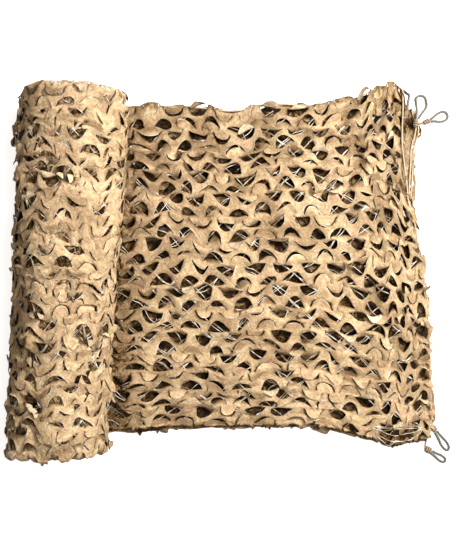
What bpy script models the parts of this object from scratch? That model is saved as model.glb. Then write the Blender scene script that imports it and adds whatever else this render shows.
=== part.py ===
"""Camouflage netting: one incised net folded in four along its length and rolled up from the far end.

The roll lies along Y.  The open run leaves the bottom of the roll and lies on the ground towards +X, as one
back-and-forth section of four layers.  A rim cord edges the net, with a knotted loop at each corner and fold
of the free end.  Metres, +Z up, ground at Z = 0.
"""

import math
from collections import namedtuple

import bmesh
import bpy
from mathutils import Vector, noise
from mathutils.geometry import delaunay_2d_cdt

# ---------------------------------------------------------------- driving dimensions
CLOTH = 0.003           # thickness of the incised cloth with its backing mesh
GAP = 0.0004            # between pieces that touch
LAYERS = 4              # layers in the folded pile
LAYER_RISE = 0.013      # from one layer to the next
FOLD_R = LAYER_RISE / 2
PILE_TOP = CLOTH + (LAYERS - 1) * LAYER_RISE

ROLL_X = -0.446         # where the roll's axis crosses Y = 0
ROLL_SKEW = math.tan(math.radians(2.0))
ROLL_MIDDLE_Y = -0.0135
ROLL_HALF_LENGTH = 0.5075
ROLL_R = 0.157          # radius where the run leaves, at the bottom
TURN_PITCH = 0.034      # the pile's thickness once wound tight
ROLL_WIDEN = 1.03       # the soft roll sags: wider than high
ROLL_FLATTEN = 0.95
AXIS_Z = 0.145
NIP_ANGLE = 328.0       # degrees round from the bottom to where the roll meets the run
JOIN_X = 0.072          # the roll's edge against the run, from the axis
LIP_Z = 0.040

CORD_D = 0.0055         # rim cord
CORD_R = CORD_D / 2
CORD_OUT = CORD_R + 0.0010   # the cord's centre, outside the cloth's edge

# The net's cut-outs: half-moons in staggered rows, alternately arched up and down.
HOLE_SCALE = 4 / 3      # the cut pattern is built a third coarser than the cloth's own
HOLE_PITCH = 0.075 * HOLE_SCALE
ROW_PERIOD = 0.070 * HOLE_SCALE
ROW_BAND = 0.010 * HOLE_SCALE
HOLE_HALF_WIDTH = 0.027 * HOLE_SCALE
HOLE_HEIGHT = 0.0185 * HOLE_SCALE
HOLE_ARC_STEPS = 6
HOLE_MARGIN = 0.016

# Plan of the run: its front and back edges at stations along X.
Station = namedtuple("Station", "x front back")
RUN_PLAN = (
    Station(-0.374, -0.500, 0.478),
    Station(-0.109, -0.489, 0.477),
    Station(0.011, -0.491, 0.467),
    Station(0.136, -0.486, 0.485),
    Station(0.261, -0.486, 0.480),
    Station(0.371, -0.505, 0.498),
    Station(0.431, -0.522, 0.519),
    Station(0.491, -0.541, 0.537),
    Station(0.519, -0.538, 0.528),
    Station(0.536, -0.534, 0.480),
    Station(0.631, -0.515, 0.470),
)
# The free end's line, from the front edge (share 0) to the back edge (share 1), and how far short of it the
# top layer stops.
EndPoint = namedtuple("EndPoint", "share x top_short")
END_LINE = (
    EndPoint(0.00, 0.603, 0.000),
    EndPoint(0.06, 0.615, 0.004),
    EndPoint(0.25, 0.614, 0.006),
    EndPoint(0.40, 0.604, 0.004),
    EndPoint(0.52, 0.594, 0.006),
    EndPoint(0.62, 0.574, 0.010),
    EndPoint(0.74, 0.559, 0.020),
    EndPoint(0.87, 0.565, 0.044),
    EndPoint(0.95, 0.581, 0.060),
    EndPoint(1.00, 0.569, 0.049),
)
# Each long edge of the pile, bottom to top: its side, how far it lies inside the plan, and how far its end
# stops short of the end's line.
Edge = namedtuple("Edge", "side inset short")
EDGES = (
    Edge("back", 0.002, 0.000),     # lower selvage
    Edge("front", 0.000, 0.000),    # lower fold
    Edge("back", 0.006, 0.016),     # middle fold
    Edge("front", 0.010, 0.004),    # upper fold
    Edge("back", 0.000, 0.000),     # upper selvage, with the top layer's own line
)
# Where the pile stands up or sinks: centre, spread and height.
Swell = namedtuple("Swell", "x y spread height")
SWELLS = (
    Swell(0.481, 0.480, 0.075, 0.020),
    Swell(0.491, -0.475, 0.070, 0.017),
    Swell(0.556, 0.150, 0.090, 0.006),
    Swell(0.211, 0.440, 0.080, 0.007),
    Swell(0.071, -0.150, 0.120, 0.005),
    Swell(-0.169, 0.150, 0.130, 0.004),
    Swell(0.011, 0.450, 0.070, -0.005),
    Swell(0.341, -0.300, 0.110, -0.004),
)
UNEVEN = 0.007          # the cloth's own rise and fall at the pile's top

# ---------------------------------------------------------------- scene and materials
for old in list(bpy.data.objects):
    bpy.data.objects.remove(old)
part = bpy.data.collections.new("camouflage_netting")
bpy.context.scene.collection.children.link(part)


def material(name, colour, roughness):
    made = bpy.data.materials.new(name)
    made.use_nodes = True
    shader = made.node_tree.nodes["Principled BSDF"]
    shader.inputs["Base Color"].default_value = (*colour, 1)
    shader.inputs["Roughness"].default_value = roughness
    return made


SAND_CLOTH = material("sand_cloth", (0.62, 0.44, 0.25), 0.75)
RIM_CORD = material("rim_cord", (0.36, 0.29, 0.22), 0.8)


def add(name, data, finish):
    made = bpy.data.objects.new(name, data)
    data.materials.append(finish)
    part.objects.link(made)
    return made


def read(table, column, at, key="x"):
    """The column's value at a place along the table, eased between its rows."""
    if at <= getattr(table[0], key):
        return getattr(table[0], column)
    for low, high in zip(table, table[1:]):
        start, stop = getattr(low, key), getattr(high, key)
        if at <= stop:
            t = (at - start) / (stop - start)
            t = t * t * (3 - 2 * t)
            return getattr(low, column) * (1 - t) + getattr(high, column) * t
    return getattr(table[-1], column)


# ---------------------------------------------------------------- the roll
def spiral(degrees):
    """Distance from the axis of the outer turn, so many degrees round from the bottom."""
    return ROLL_R - TURN_PITCH * degrees / 360


def roll_outline():
    """The roll's section, clockwise from the ground under the join: x from the axis, and z."""
    outline = [(JOIN_X, 0.0), (0.036, 0.0), (0.0, 0.0), (-0.036, 0.0)]
    first, steps = 22.0, 32
    for i in range(steps + 1):
        degrees = first + (NIP_ANGLE - first) * i / steps
        turn = math.radians(degrees)
        x = -ROLL_WIDEN * spiral(degrees) * math.sin(turn)
        z = AXIS_Z - ROLL_FLATTEN * spiral(degrees) * math.cos(turn)
        outline.append((x, max(z, 0.0)))
    outline.append((JOIN_X, LIP_Z))
    return outline


def wound(x, z):
    """How deep in the winding a point of the section is, in turns; whole numbers are the gaps between turns."""
    across, up = x / ROLL_WIDEN, (z - AXIS_Z) / ROLL_FLATTEN
    degrees = math.degrees(math.atan2(-across, -up)) % 360
    return math.hypot(across, up) / TURN_PITCH + degrees / 360 - ROLL_R / TURN_PITCH


def roll_ring(y, share, relief):
    """One ring of the roll: its section shrunk to a share about the axis, with the turns' relief at the ends."""
    side = 1 if y > ROLL_MIDDLE_Y else -1
    ring = []
    for x, z in roll_outline():
        x, z = x * share, AXIS_Z + (z - AXIS_Z) * share
        ridge = relief * (0.5 - 0.5 * math.cos(2 * math.pi * wound(x, z)))
        place = Vector((ROLL_X + x, y + side * ridge, z))
        on_join = x > JOIN_X - 0.006 and z < LIP_Z + 0.004
        if share == 1 and z > 0.004 and not on_join:
            out = Vector((x, 0, z - AXIS_Z)).normalized()
            place += out * (0.010 * noise.noise(place * 11) + 0.004 * noise.noise(place * 27))
        place.x += place.y * ROLL_SKEW
        ring.append(place)
    return ring


def loft(rings):
    """A closed solid through rings of as many points each, with a pole at both ends."""
    mesh = bmesh.new()
    rows = [[mesh.verts.new(p) for p in ring] for ring in rings]
    for low, high in zip(rows, rows[1:]):
        for i in range(len(low)):
            j = (i + 1) % len(low)
            mesh.faces.new((low[i], low[j], high[j], high[i]))
    for row in (rows[0], rows[-1]):
        pole = mesh.verts.new(sum((v.co for v in row), Vector()) / len(row))
        for i in range(len(row)):
            mesh.faces.new((row[i], row[(i + 1) % len(row)], pole))
    bmesh.ops.recalc_face_normals(mesh, faces=mesh.faces)
    return mesh


def build_roll():
    end_round, round_share, cap_rings, relief = 0.018, 0.88, 12, 0.010
    half_rings = []                       # (distance from the end, share of the section, relief)
    for i in range(1, cap_rings):
        half_rings.append((0.0, round_share * i / cap_rings, relief))
    for degrees in (0, 30, 60, 90):
        turn = math.radians(degrees)
        share = round_share + (1 - round_share) * math.sin(turn)
        half_rings.append((end_round * (1 - math.cos(turn)), share, relief * math.cos(turn)))
    low, high = ROLL_MIDDLE_Y - ROLL_HALF_LENGTH, ROLL_MIDDLE_Y + ROLL_HALF_LENGTH
    rings = [roll_ring(low + inset, share, ridge) for inset, share, ridge in half_rings]
    bays = 21
    for i in range(1, bays):
        rings.append(roll_ring(low + end_round + (high - low - 2 * end_round) * i / bays, 1, 0))
    rings += [roll_ring(high - inset, share, ridge) for inset, share, ridge in reversed(half_rings)]
    mesh = loft(rings)
    data = bpy.data.meshes.new("net_roll")
    mesh.to_mesh(data)
    mesh.free()
    add("net_roll", data, SAND_CLOTH)


# ---------------------------------------------------------------- the open run
CHART_LENGTH = 0.965    # the run laid flat: its length, and the width of each layer
CHART_WIDTH = 0.962
CHART_FOLD = math.pi * FOLD_R
CHART_STEP = CHART_WIDTH + CHART_FOLD
CHART_TOTAL = LAYERS * CHART_WIDTH + (LAYERS - 1) * CHART_FOLD
ROW_SHARES = (0.0, 0.05, 0.13, 0.26, 0.40, 0.60, 0.74, 0.87, 0.95)  # where each layer is ruled
FOLD_STEPS = 5
TOP_END_STEPS = 16


def swell(x, y):
    """How much the pile's top stands up here: the main swells, and the cloth's own unevenness."""
    lift = UNEVEN * noise.noise(Vector((x * 7, y * 7, 3.1)))
    for s in SWELLS:
        lift += s.height * math.exp(-((x - s.x) ** 2 + (y - s.y) ** 2) / (2 * s.spread**2))
    return lift


def folded(length_share, across):
    """A point of the cloth laid flat, as it lies in the folded run."""
    layer = min(int(across / CHART_STEP), LAYERS - 1)
    rest = across - layer * CHART_STEP
    turn = max(0.0, rest - CHART_WIDTH) / CHART_FOLD * math.pi
    share = min(rest / CHART_WIDTH, 1.0)
    start, stop = EDGES[layer], EDGES[layer + 1]
    to_back = share if stop.side == "back" else 1 - share
    front, back = (start, stop) if start.side == "front" else (stop, start)
    short = front.short * (1 - to_back) + back.short * to_back
    if layer == LAYERS - 1:
        short += read(END_LINE, "top_short", to_back, "share")
    join = ROLL_X + JOIN_X + GAP
    x = join + length_share * (read(END_LINE, "x", to_back, "share") - short - join)
    low = read(RUN_PLAN, "front", x) + front.inset + FOLD_R
    high = read(RUN_PLAN, "back", x) - back.inset - FOLD_R
    y = low + to_back * (high - low) + FOLD_R * math.sin(turn) * (1 if stop.side == "back" else -1)
    x += (1 - length_share) * y * ROLL_SKEW
    level = layer * LAYER_RISE + FOLD_R * (1 - math.cos(turn))
    lift = swell(x, y) * level / (PILE_TOP - CLOTH) * min(1.0, length_share / 0.12)
    return Vector((x, y, CLOTH / 2 + level + lift))


def half_moon(middle, base, way):
    """A cut-out's corners in the chart: a flat side at base, and an arc that rises the way given, +1 or -1."""
    corners = []
    for i in range(HOLE_ARC_STEPS + 1):
        turn = math.pi * i / HOLE_ARC_STEPS
        corners.append(
            Vector((middle + HOLE_HALF_WIDTH * math.cos(turn), base + way * HOLE_HEIGHT * math.sin(turn)))
        )
    return corners


def cut_outs():
    """Every half-moon of the top layer as (middle, base, way), arched up and down in turn."""
    found = []
    first_row = (LAYERS - 1) * CHART_STEP + 0.030
    for row in range(int((CHART_WIDTH - 0.060) / ROW_PERIOD) + 1):
        for way in (1, -1):
            base = first_row + row * ROW_PERIOD + (0 if way > 0 else ROW_PERIOD - ROW_BAND)
            if base > CHART_TOTAL - HOLE_MARGIN:
                continue
            middle = HOLE_MARGIN + HOLE_HALF_WIDTH + (0 if way > 0 else HOLE_PITCH / 2)
            while middle + HOLE_HALF_WIDTH + HOLE_MARGIN < CHART_LENGTH:
                found.append((middle, base, way))
                middle += HOLE_PITCH
    return found


def stations():
    """Where the layers are ruled along their length, closer together towards the free end."""
    even = [CHART_LENGTH * 0.90 * i / 10 for i in range(11)]
    return [*even, CHART_LENGTH * 0.94, CHART_LENGTH * 0.97, CHART_LENGTH]


def rulings():
    """Where the layers are ruled across, over the folds; the top layer only at its start."""
    ruled = []
    for layer in range(LAYERS - 1):
        start = layer * CHART_STEP
        ruled += [start + CHART_WIDTH * share for share in ROW_SHARES]
        ruled += [start + CHART_WIDTH + CHART_FOLD * i / FOLD_STEPS for i in range(FOLD_STEPS)]
    return ruled


def end_stops():
    """Where the free end's edge has its points, on every layer and fold."""
    top = (LAYERS - 1) * CHART_STEP
    return rulings() + [top + CHART_WIDTH * i / TOP_END_STEPS for i in range(TOP_END_STEPS + 1)]


def build_run():
    points, edges = [], []

    def chain(new, closed=False):
        first = len(points)
        points.extend(new)
        edges.extend((first + i, first + i + 1) for i in range(len(new) - 1))
        if closed:
            edges.append((first + len(new) - 1, first))

    for across in [*rulings(), (LAYERS - 1) * CHART_STEP, CHART_TOTAL]:
        chain([Vector((along, across)) for along in stations()])
    for along in (0.0, CHART_LENGTH):
        chain([Vector((along, across)) for across in end_stops()])
    holes = cut_outs()
    for hole in holes:
        chain(half_moon(*hole), closed=True)
    flat, _, faces, *_ = delaunay_2d_cdt(points, edges, [], 1, 1e-5)

    def in_a_hole(p):
        return any(
            abs(p.x - middle) < HOLE_HALF_WIDTH
            and 0 < (p.y - base) * way < HOLE_HEIGHT
            and ((p.x - middle) / HOLE_HALF_WIDTH) ** 2 + ((p.y - base) / HOLE_HEIGHT) ** 2 < 1
            for middle, base, way in holes
        )

    kept = [f for f in faces if not in_a_hole(sum((flat[i] for i in f), Vector((0, 0))) / 3)]
    data = bpy.data.meshes.new("net_run")
    data.from_pydata([folded(p.x / CHART_LENGTH, p.y) for p in flat], [], kept)
    run = add("net_run", data, SAND_CLOTH)
    thick = run.modifiers.new("cloth", "SOLIDIFY")
    thick.thickness = CLOTH
    thick.offset = 0


# ---------------------------------------------------------------- rim cord
def cord(name, points, radii=None, sides=2):
    curve = bpy.data.curves.new(name, "CURVE")
    curve.dimensions = "3D"
    curve.bevel_depth = CORD_R
    curve.bevel_resolution = sides
    curve.use_fill_caps = True
    line = curve.splines.new("POLY")
    line.points.add(len(points) - 1)
    for i, p in enumerate(points):
        line.points[i].co = (*p, 1)
        line.points[i].radius = radii[i] / CORD_R if radii else 1
    return add(name, curve, RIM_CORD)


def cloth_normal(along, across):
    """The upper side's direction where the cloth laid flat has this point."""
    d = 0.002
    left, right = max(along - d, 0), min(along + d, CHART_LENGTH)
    low, high = max(across - d, 0), min(across + d, CHART_TOTAL)
    lengthways = folded(right / CHART_LENGTH, across) - folded(left / CHART_LENGTH, across)
    crossways = folded(along / CHART_LENGTH, high) - folded(along / CHART_LENGTH, low)
    return lengthways.cross(crossways).normalized()


def build_rim():
    """The cord follows the lower selvage, the free end over every fold, and the upper selvage back."""
    selvage = stations()[1:]
    route = [(along, 0.0) for along in selvage[:-1]]
    route += [(CHART_LENGTH, across) for across in end_stops()]
    route += [(along, CHART_TOTAL) for along in reversed(selvage[:-1])]
    edge = [folded(along / CHART_LENGTH, across) for along, across in route]
    centres = []
    for i, (along, across) in enumerate(route):
        up = cloth_normal(along, across)
        before = (edge[i] - edge[i - 1]) if i else (edge[1] - edge[0])
        after = (edge[i + 1] - edge[i]) if i + 1 < len(edge) else before
        first, second = before.cross(up).normalized(), after.cross(up).normalized()
        out = (first + second) / (1 + first.dot(second))
        centre = edge[i] + out * CORD_OUT
        centre.z = max(centre.z, CORD_R + GAP)
        centres.append(centre)
    cord("rim_cord", centres)
    return centres[len(selvage) - 1 : len(selvage) - 1 + len(end_stops())]


# ---------------------------------------------------------------- corner loops and their knots
# Each loop leaves a knot whose neck is tied to the rim cord, on the end of one of the layers.  The knot
# starts at (x, y, z) and points along its heading, in degrees from +X.  The loop goes on at the knot's height
# for a while (hold), then droops until its tip lies at end_z.
Loop = namedtuple("Loop", "name layer x y z knot_r heading length width hold end_z")
LOOPS = (
    Loop("back_top", 3, 0.5345, 0.440, 0.0475, 0.0076, 88, 0.070, 0.017, 0.042, 0.0043),
    Loop("back_fold", 2, 0.5620, 0.417, 0.0450, 0.0088, 71, 0.082, 0.034, 0.030, 0.0043),
    Loop("back_low", 0, 0.5965, 0.4335, 0.0100, 0.0092, 19, 0.056, 0.028, 0.000, 0.0043),
    Loop("front_low", 0, 0.6220, -0.479, 0.0112, 0.0105, -55, 0.067, 0.018, 0.000, 0.0043),
    Loop("front_fold", 0, 0.6020, -0.5455, 0.0122, 0.0115, -34, 0.052, 0.016, 0.000, 0.0043),
)
TIE_R = 0.0039          # the loops' own cord is thicker than the rim cord
KNOT_LENGTH = 0.024
KNOT_FORM = (0.55, 0.88, 1.00, 0.88, 0.98, 0.93, 0.80)   # radii along the knot, in shares of the widest
STRAND = 0.0043         # each strand's centre from the loop's middle, where it leaves the knot
LOOP_START = 0.0010     # from the knot's end face
# One side of a loop, from the knot to the tip: shares of its length and of its half width.
LOOP_FORM = ((0.38, 0.74), (0.62, 1.00), (0.82, 0.96), (0.945, 0.64))
LOOP_POINTS = 16


def smooth(route, count):
    """So many evenly spaced points on a curve through the route's own points."""
    fine = []
    padded = [2 * route[0] - route[1], *route, 2 * route[-1] - route[-2]]
    for a, b, c, d in zip(padded, padded[1:], padded[2:], padded[3:]):
        for i in range(20):
            t = i / 20
            bend = 2 * a - 5 * b + 4 * c - d
            twist = 3 * b - a - 3 * c + d
            fine.append(0.5 * (2 * b + (c - a) * t + bend * t * t + twist * t**3))
    fine.append(route[-1])
    total = sum((q - p).length for p, q in zip(fine, fine[1:]))
    picked, gone = [fine[0]], 0.0
    for p, q in zip(fine, fine[1:]):
        step = (q - p).length
        while len(picked) < count - 1 and gone + step >= total * len(picked) / (count - 1):
            picked.append(p.lerp(q, (total * len(picked) / (count - 1) - gone) / step))
        gone += step
    return [*picked, fine[-1]]


def loop_height(loop, along):
    """The loop holds its knot's height for a while, then droops to where its tip lies."""
    share = max(0.0, along - loop.hold) / (loop.length - loop.hold)
    share = min(1.0, share * 1.15)
    return loop.z + (loop.end_z - loop.z) * share * share * (3 - 2 * share)


def nearest_on_end(layer, place, end_rim):
    """The point of the rim cord's middle that is nearest to a place, on the end of one layer and its fold."""
    low, high = layer * CHART_STEP - 0.0001, (layer + 1) * CHART_STEP + 0.0001
    found = []
    for i, (this, following) in enumerate(zip(end_stops(), end_stops()[1:])):
        if low < this and following < high:
            start, along = end_rim[i], end_rim[i + 1] - end_rim[i]
            share = (place - start).dot(along) / along.length_squared
            found.append(start + along * max(0.0, min(1.0, share)))
    return min(found, key=lambda p: (p - place).length)


def build_loop(loop, end_rim):
    heading = math.radians(loop.heading)
    ahead = Vector((math.cos(heading), math.sin(heading), 0))
    aside = Vector((-ahead.y, ahead.x, 0))
    knot = Vector((loop.x, loop.y, loop.z))
    root = nearest_on_end(loop.layer, knot, end_rim)
    neck = (knot - root).normalized()
    centres = [root + neck * (CORD_R + GAP), knot]
    radii = [CORD_R * 0.9, CORD_R]
    for i, share in enumerate(KNOT_FORM):
        centres.append(knot + ahead * KNOT_LENGTH * (i + 1) / len(KNOT_FORM))
        radii.append(loop.knot_r * share)
    cord(loop.name + "_knot", centres, radii)
    side = [(LOOP_START, STRAND), (0.007, STRAND)]
    side += [(a * loop.length, b * loop.width / 2) for a, b in LOOP_FORM]
    route = [*side, (loop.length, 0.0), *((a, -b) for a, b in reversed(side))]
    start = knot + ahead * KNOT_LENGTH
    places = []
    for along, across in route:
        place = start + ahead * along + aside * across
        place.z = loop_height(loop, along)
        places.append(place)
    cord(loop.name + "_loop", smooth(places, LOOP_POINTS), [TIE_R] * LOOP_POINTS)


build_roll()
build_run()
end_cord = build_rim()
for one in LOOPS:
    build_loop(one, end_cord)
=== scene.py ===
import math

import bmesh
import bpy
import numpy as np
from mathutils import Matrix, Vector, noise
from mathutils.geometry import delaunay_2d_cdt


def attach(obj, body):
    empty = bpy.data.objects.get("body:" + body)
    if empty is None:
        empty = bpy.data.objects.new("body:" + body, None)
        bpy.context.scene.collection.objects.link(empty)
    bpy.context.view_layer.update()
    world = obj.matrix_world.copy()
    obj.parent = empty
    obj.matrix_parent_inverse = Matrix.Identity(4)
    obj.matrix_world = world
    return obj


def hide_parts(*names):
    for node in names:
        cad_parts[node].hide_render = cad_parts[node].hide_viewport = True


for startup in ("Cube", "Light", "Camera"):
    if startup in bpy.data.objects:
        bpy.data.objects.remove(bpy.data.objects[startup])
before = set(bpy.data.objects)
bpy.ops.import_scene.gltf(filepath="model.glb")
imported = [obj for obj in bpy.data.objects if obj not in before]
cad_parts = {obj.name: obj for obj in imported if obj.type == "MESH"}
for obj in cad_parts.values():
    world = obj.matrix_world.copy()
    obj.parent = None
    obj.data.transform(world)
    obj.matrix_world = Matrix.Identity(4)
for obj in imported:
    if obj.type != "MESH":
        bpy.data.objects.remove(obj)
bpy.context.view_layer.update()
scene = bpy.context.scene


# ---------------------------------------------------------------- camera
# The netting lies on the ground and is looked at from straight overhead, from a little over two metres, with
# its roll on the left and its free end on the right.
CAMERA_PLACE = (0.011, -0.0205, 2.2)
VIEW_ANGLE = math.radians(41.3)       # along the long side of the picture
SENSOR = 36

camera_data = bpy.data.cameras.new("camera")
camera_data.sensor_width = SENSOR
camera_data.lens = SENSOR / 2 / math.tan(VIEW_ANGLE / 2)
camera = bpy.data.objects.new("camera", camera_data)
camera.location = CAMERA_PLACE
scene.collection.objects.link(camera)
scene.camera = camera
scene.view_settings.view_transform = "Standard"


# ---------------------------------------------------------------- the folded run's form
# The net lies in four layers, folded back and forth across its width.  The plan of its edges, the line of its
# free end and its swells are the frame's own, so that cloth, threads, cord and loops all lie in one place.
CLOTH, GAP = 0.003, 0.0004            # the cloth's thickness, and what keeps a piece clear of the ground
LAYERS, LAYER_RISE = 4, 0.013
FOLD_R = LAYER_RISE / 2
PILE_TOP = CLOTH + (LAYERS - 1) * LAYER_RISE
ROLL_X, JOIN_X, ROLL_SKEW = -0.446, 0.072, math.tan(math.radians(2.0))
# The net laid flat: its length from the roll to the free end, then across it one layer, the fold that joins
# it to the next, the step from layer to layer, where the upper layer starts, and the whole width.
CHART_LENGTH, CHART_WIDTH = 0.965, 0.962
CHART_FOLD = math.pi * FOLD_R
CHART_STEP = CHART_WIDTH + CHART_FOLD
UPPER_START = (LAYERS - 1) * CHART_STEP
CHART_TOTAL = LAYERS * CHART_WIDTH + (LAYERS - 1) * CHART_FOLD
# The plan of the pile's two long edges, then of its free end, with how far short of it the upper layer stops.
PLAN_X = (-0.374, -0.109, 0.011, 0.136, 0.261, 0.371, 0.431, 0.491, 0.519, 0.536, 0.631)
PLAN_FRONT = (-0.500, -0.489, -0.491, -0.486, -0.486, -0.505, -0.522, -0.541, -0.538, -0.534, -0.515)
PLAN_BACK = (0.478, 0.477, 0.467, 0.485, 0.480, 0.498, 0.519, 0.537, 0.528, 0.480, 0.470)
END_SHARE = (0.00, 0.06, 0.25, 0.40, 0.52, 0.62, 0.74, 0.87, 0.95, 1.00)
END_X = (0.603, 0.615, 0.614, 0.604, 0.594, 0.574, 0.559, 0.565, 0.581, 0.569)
TOP_SHORT = (0.000, 0.004, 0.006, 0.004, 0.006, 0.010, 0.020, 0.044, 0.060, 0.049)
# Each long edge of the pile, bottom to top: on the back or not, its inset from the plan, how short it stops.
EDGE_BACK = np.array((True, False, True, False, True))
EDGE_INSET = np.array((0.002, 0.000, 0.006, 0.010, 0.000))
EDGE_SHORT = np.array((0.000, 0.000, 0.016, 0.004, 0.000))
# The soft rises and hollows of the pile: x, y, spread and height.
SWELLS = (
    (0.481, 0.480, 0.075, 0.020), (0.491, -0.475, 0.070, 0.017), (0.556, 0.150, 0.090, 0.006),
    (0.211, 0.440, 0.080, 0.007), (0.071, -0.150, 0.120, 0.005), (-0.169, 0.150, 0.130, 0.004),
    (0.011, 0.450, 0.070, -0.005), (0.341, -0.300, 0.110, -0.004),
)
SWELL_FROM_ROLL = 0.12                # the share of the run's length over which the swells rise
UNEVEN, UNEVEN_PER_METRE, UNEVEN_DRAW = 0.007, 7, 3.1
# Inside the pile the three lower layers lie slack, lower than at their folds, and swell less.
SINK = np.array((0.000, 0.007, 0.011, 0.000))
SLACK_FROM_FOLD, SLACK_FROM_END, SLACK_SWELL = 0.09, 0.10, 0.6


def ease(t):
    t = np.clip(t, 0, 1)
    return t * t * (3 - 2 * t)


def read(places, values, at):
    """The value at a place between the table's own places, eased between them."""
    places, values = np.array(places), np.array(values)
    i = np.clip(np.searchsorted(places, at) - 1, 0, len(places) - 2)
    t = ease((at - places[i]) / (places[i + 1] - places[i]))
    return values[i] * (1 - t) + values[i + 1] * t


def swell(x, y):
    """How much the pile's top stands up here."""
    at = [Vector((a * UNEVEN_PER_METRE, b * UNEVEN_PER_METRE, UNEVEN_DRAW)) for a, b in zip(x, y)]
    lift = UNEVEN * np.array([noise.noise(place) for place in at])
    for at_x, at_y, spread, height in SWELLS:
        lift += height * np.exp(-((x - at_x) ** 2 + (y - at_y) ** 2) / (2 * spread**2))
    return lift


def fold_of(across):
    """For places across the flat net: the layer, the share of the way to the back, the turn round its fold,
    and the way gone over the layer."""
    layer = np.clip((across / CHART_STEP).astype(int), 0, LAYERS - 1)
    rest = across - layer * CHART_STEP
    turn = np.clip(rest - CHART_WIDTH, 0, CHART_FOLD) / CHART_FOLD * math.pi
    share = np.clip(rest / CHART_WIDTH, 0, 1)
    return layer, np.where(EDGE_BACK[layer + 1], share, 1 - share), turn, rest


def run_place(along, across):
    """Where points of the flat net lie in the folded run."""
    layer, to_back, turn, rest = fold_of(across)
    back_stop = EDGE_BACK[layer + 1]
    front = np.where(back_stop, layer, layer + 1)
    back = np.where(back_stop, layer + 1, layer)
    length_share = along / CHART_LENGTH
    short = EDGE_SHORT[front] * (1 - to_back) + EDGE_SHORT[back] * to_back
    short = short + np.where(layer == LAYERS - 1, read(END_SHARE, TOP_SHORT, to_back), 0)
    join = ROLL_X + JOIN_X + GAP
    x = join + length_share * (read(END_SHARE, END_X, to_back) - short - join)
    low = read(PLAN_X, PLAN_FRONT, x) + EDGE_INSET[front] + FOLD_R
    high = read(PLAN_X, PLAN_BACK, x) - EDGE_INSET[back] - FOLD_R
    y = low + to_back * (high - low) + FOLD_R * np.sin(turn) * np.where(back_stop, 1, -1)
    x = x + (1 - length_share) * y * ROLL_SKEW
    level = layer * LAYER_RISE + FOLD_R * (1 - np.cos(turn))
    slack = ease(np.minimum(rest, CHART_WIDTH - rest) / SLACK_FROM_FOLD)
    slack = slack * ease((CHART_LENGTH - along) / SLACK_FROM_END)
    lift = swell(x, y) * level / (PILE_TOP - CLOTH) * np.minimum(1, length_share / SWELL_FROM_ROLL)
    lift = lift - SINK[layer] * slack - np.where(layer < LAYERS - 1, lift * SLACK_SWELL * slack, 0)
    return np.stack([x, y, CLOTH / 2 + level + lift], axis=1)


def on_sheet(place, along, across, out):
    """Points so far out from a sheet.  What lies past its long edges goes straight on."""
    step = 0.003
    within = np.clip(across, step, CHART_TOTAL - step)
    here = place(along, within)
    lengthways = place(along + step, within) - place(along - step, within)
    crossways = place(along, within + step) - place(along, within - step)
    normal = np.cross(lengthways, crossways)
    normal /= np.linalg.norm(normal, axis=1)[:, None]
    return here + crossways * ((across - within) / (2 * step))[:, None] + normal * out[:, None]


# ---------------------------------------------------------------- tie loops, knots and rim cord
# A 5.5 mm laid polyester cord edges the net.  At each corner and fold of the free end a loop of thicker 8 mm
# cord is wrapped on itself in a knot, whose neck is tied round the rim cord.
CORD_D = 0.0055
CORD_R = CORD_D / 2
CORD_OUT = CORD_R + 0.0010
RIM_START = 0.02                      # the cord comes out from under the roll
RIM_END_POINTS, RIM_FOLD_POINTS, RIM_SELVAGE_POINTS = 81, 8, 70
# name, layer, x, y, z, knot_r, heading, length, width, hold, end_z, as in the frame
LOOPS = (
    ("back_top", 3, 0.5345, 0.440, 0.0475, 0.0076, 88, 0.070, 0.017, 0.042, 0.0043),
    ("back_fold", 2, 0.5620, 0.417, 0.0450, 0.0088, 71, 0.082, 0.034, 0.030, 0.0043),
    ("back_low", 0, 0.5965, 0.4335, 0.0100, 0.0092, 19, 0.056, 0.028, 0.000, 0.0043),
    ("front_low", 0, 0.6220, -0.479, 0.0112, 0.0105, -55, 0.067, 0.018, 0.000, 0.0043),
    ("front_fold", 0, 0.6020, -0.5455, 0.0122, 0.0115, -34, 0.052, 0.016, 0.000, 0.0043),
)
TIE_R = 0.0039
TIE_CROWN_R = TIE_R * 1.14            # over the strands' crowns; the grooves lie inside TIE_R
WRAP_R = TIE_R * 0.86                 # the same cord, drawn tight in the knot
KNOT_LENGTH, KNOT_END, KNOT_WAIST = 0.024, 0.0030, 0.72
KNOT_WRAPS, WRAP_POINTS = 2.7, 14
WRAP_UNEVEN, WRAP_SLIP = 0.10, 0.0002
# The loop's two strands come out of the knot side by side, so far from its middle, and run straight at first.
STRAND, LOOP_START, LOOP_NECK = 0.0043, 0.0010, 0.007
STRAND_IN_KNOT = 0.55 * STRAND
# The loop's side from its knot to near its tip, as shares of its length and of half its width.
LOOP_FORM = ((0.38, 0.74), (0.62, 1.00), (0.82, 0.96), (0.945, 0.64))
LOOP_FALL = 1.15                      # past where it is held up, the loop is down before its tip
SMOOTH_STEPS = 20


def link(tree, source, target):
    tree.links.new(source, target)


def node(tree, kind, settings=None, **inputs):
    """A node with its settings, and each input either a value or the output that feeds it.  An input goes by
    its name, or by the letter i and its number."""
    made = tree.nodes.new(kind)
    for key, value in (settings or {}).items():
        setattr(made, key, value)
    for key, value in inputs.items():
        numbered = key[0] == "i" and key[1:].isdigit()
        socket = made.inputs[int(key[1:]) if numbered else key.replace("_", " ")]
        if isinstance(value, bpy.types.NodeSocket):
            link(tree, value, socket)
        else:
            socket.default_value = value
    return made


def maths(tree, operation, first, second=0.0):
    return node(tree, "ShaderNodeMath", {"operation": operation}, i0=first, i1=second).outputs[0]


def plus(tree, first, second):
    return maths(tree, "ADD", first, second)


def minus(tree, first, second):
    return maths(tree, "SUBTRACT", first, second)


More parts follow.
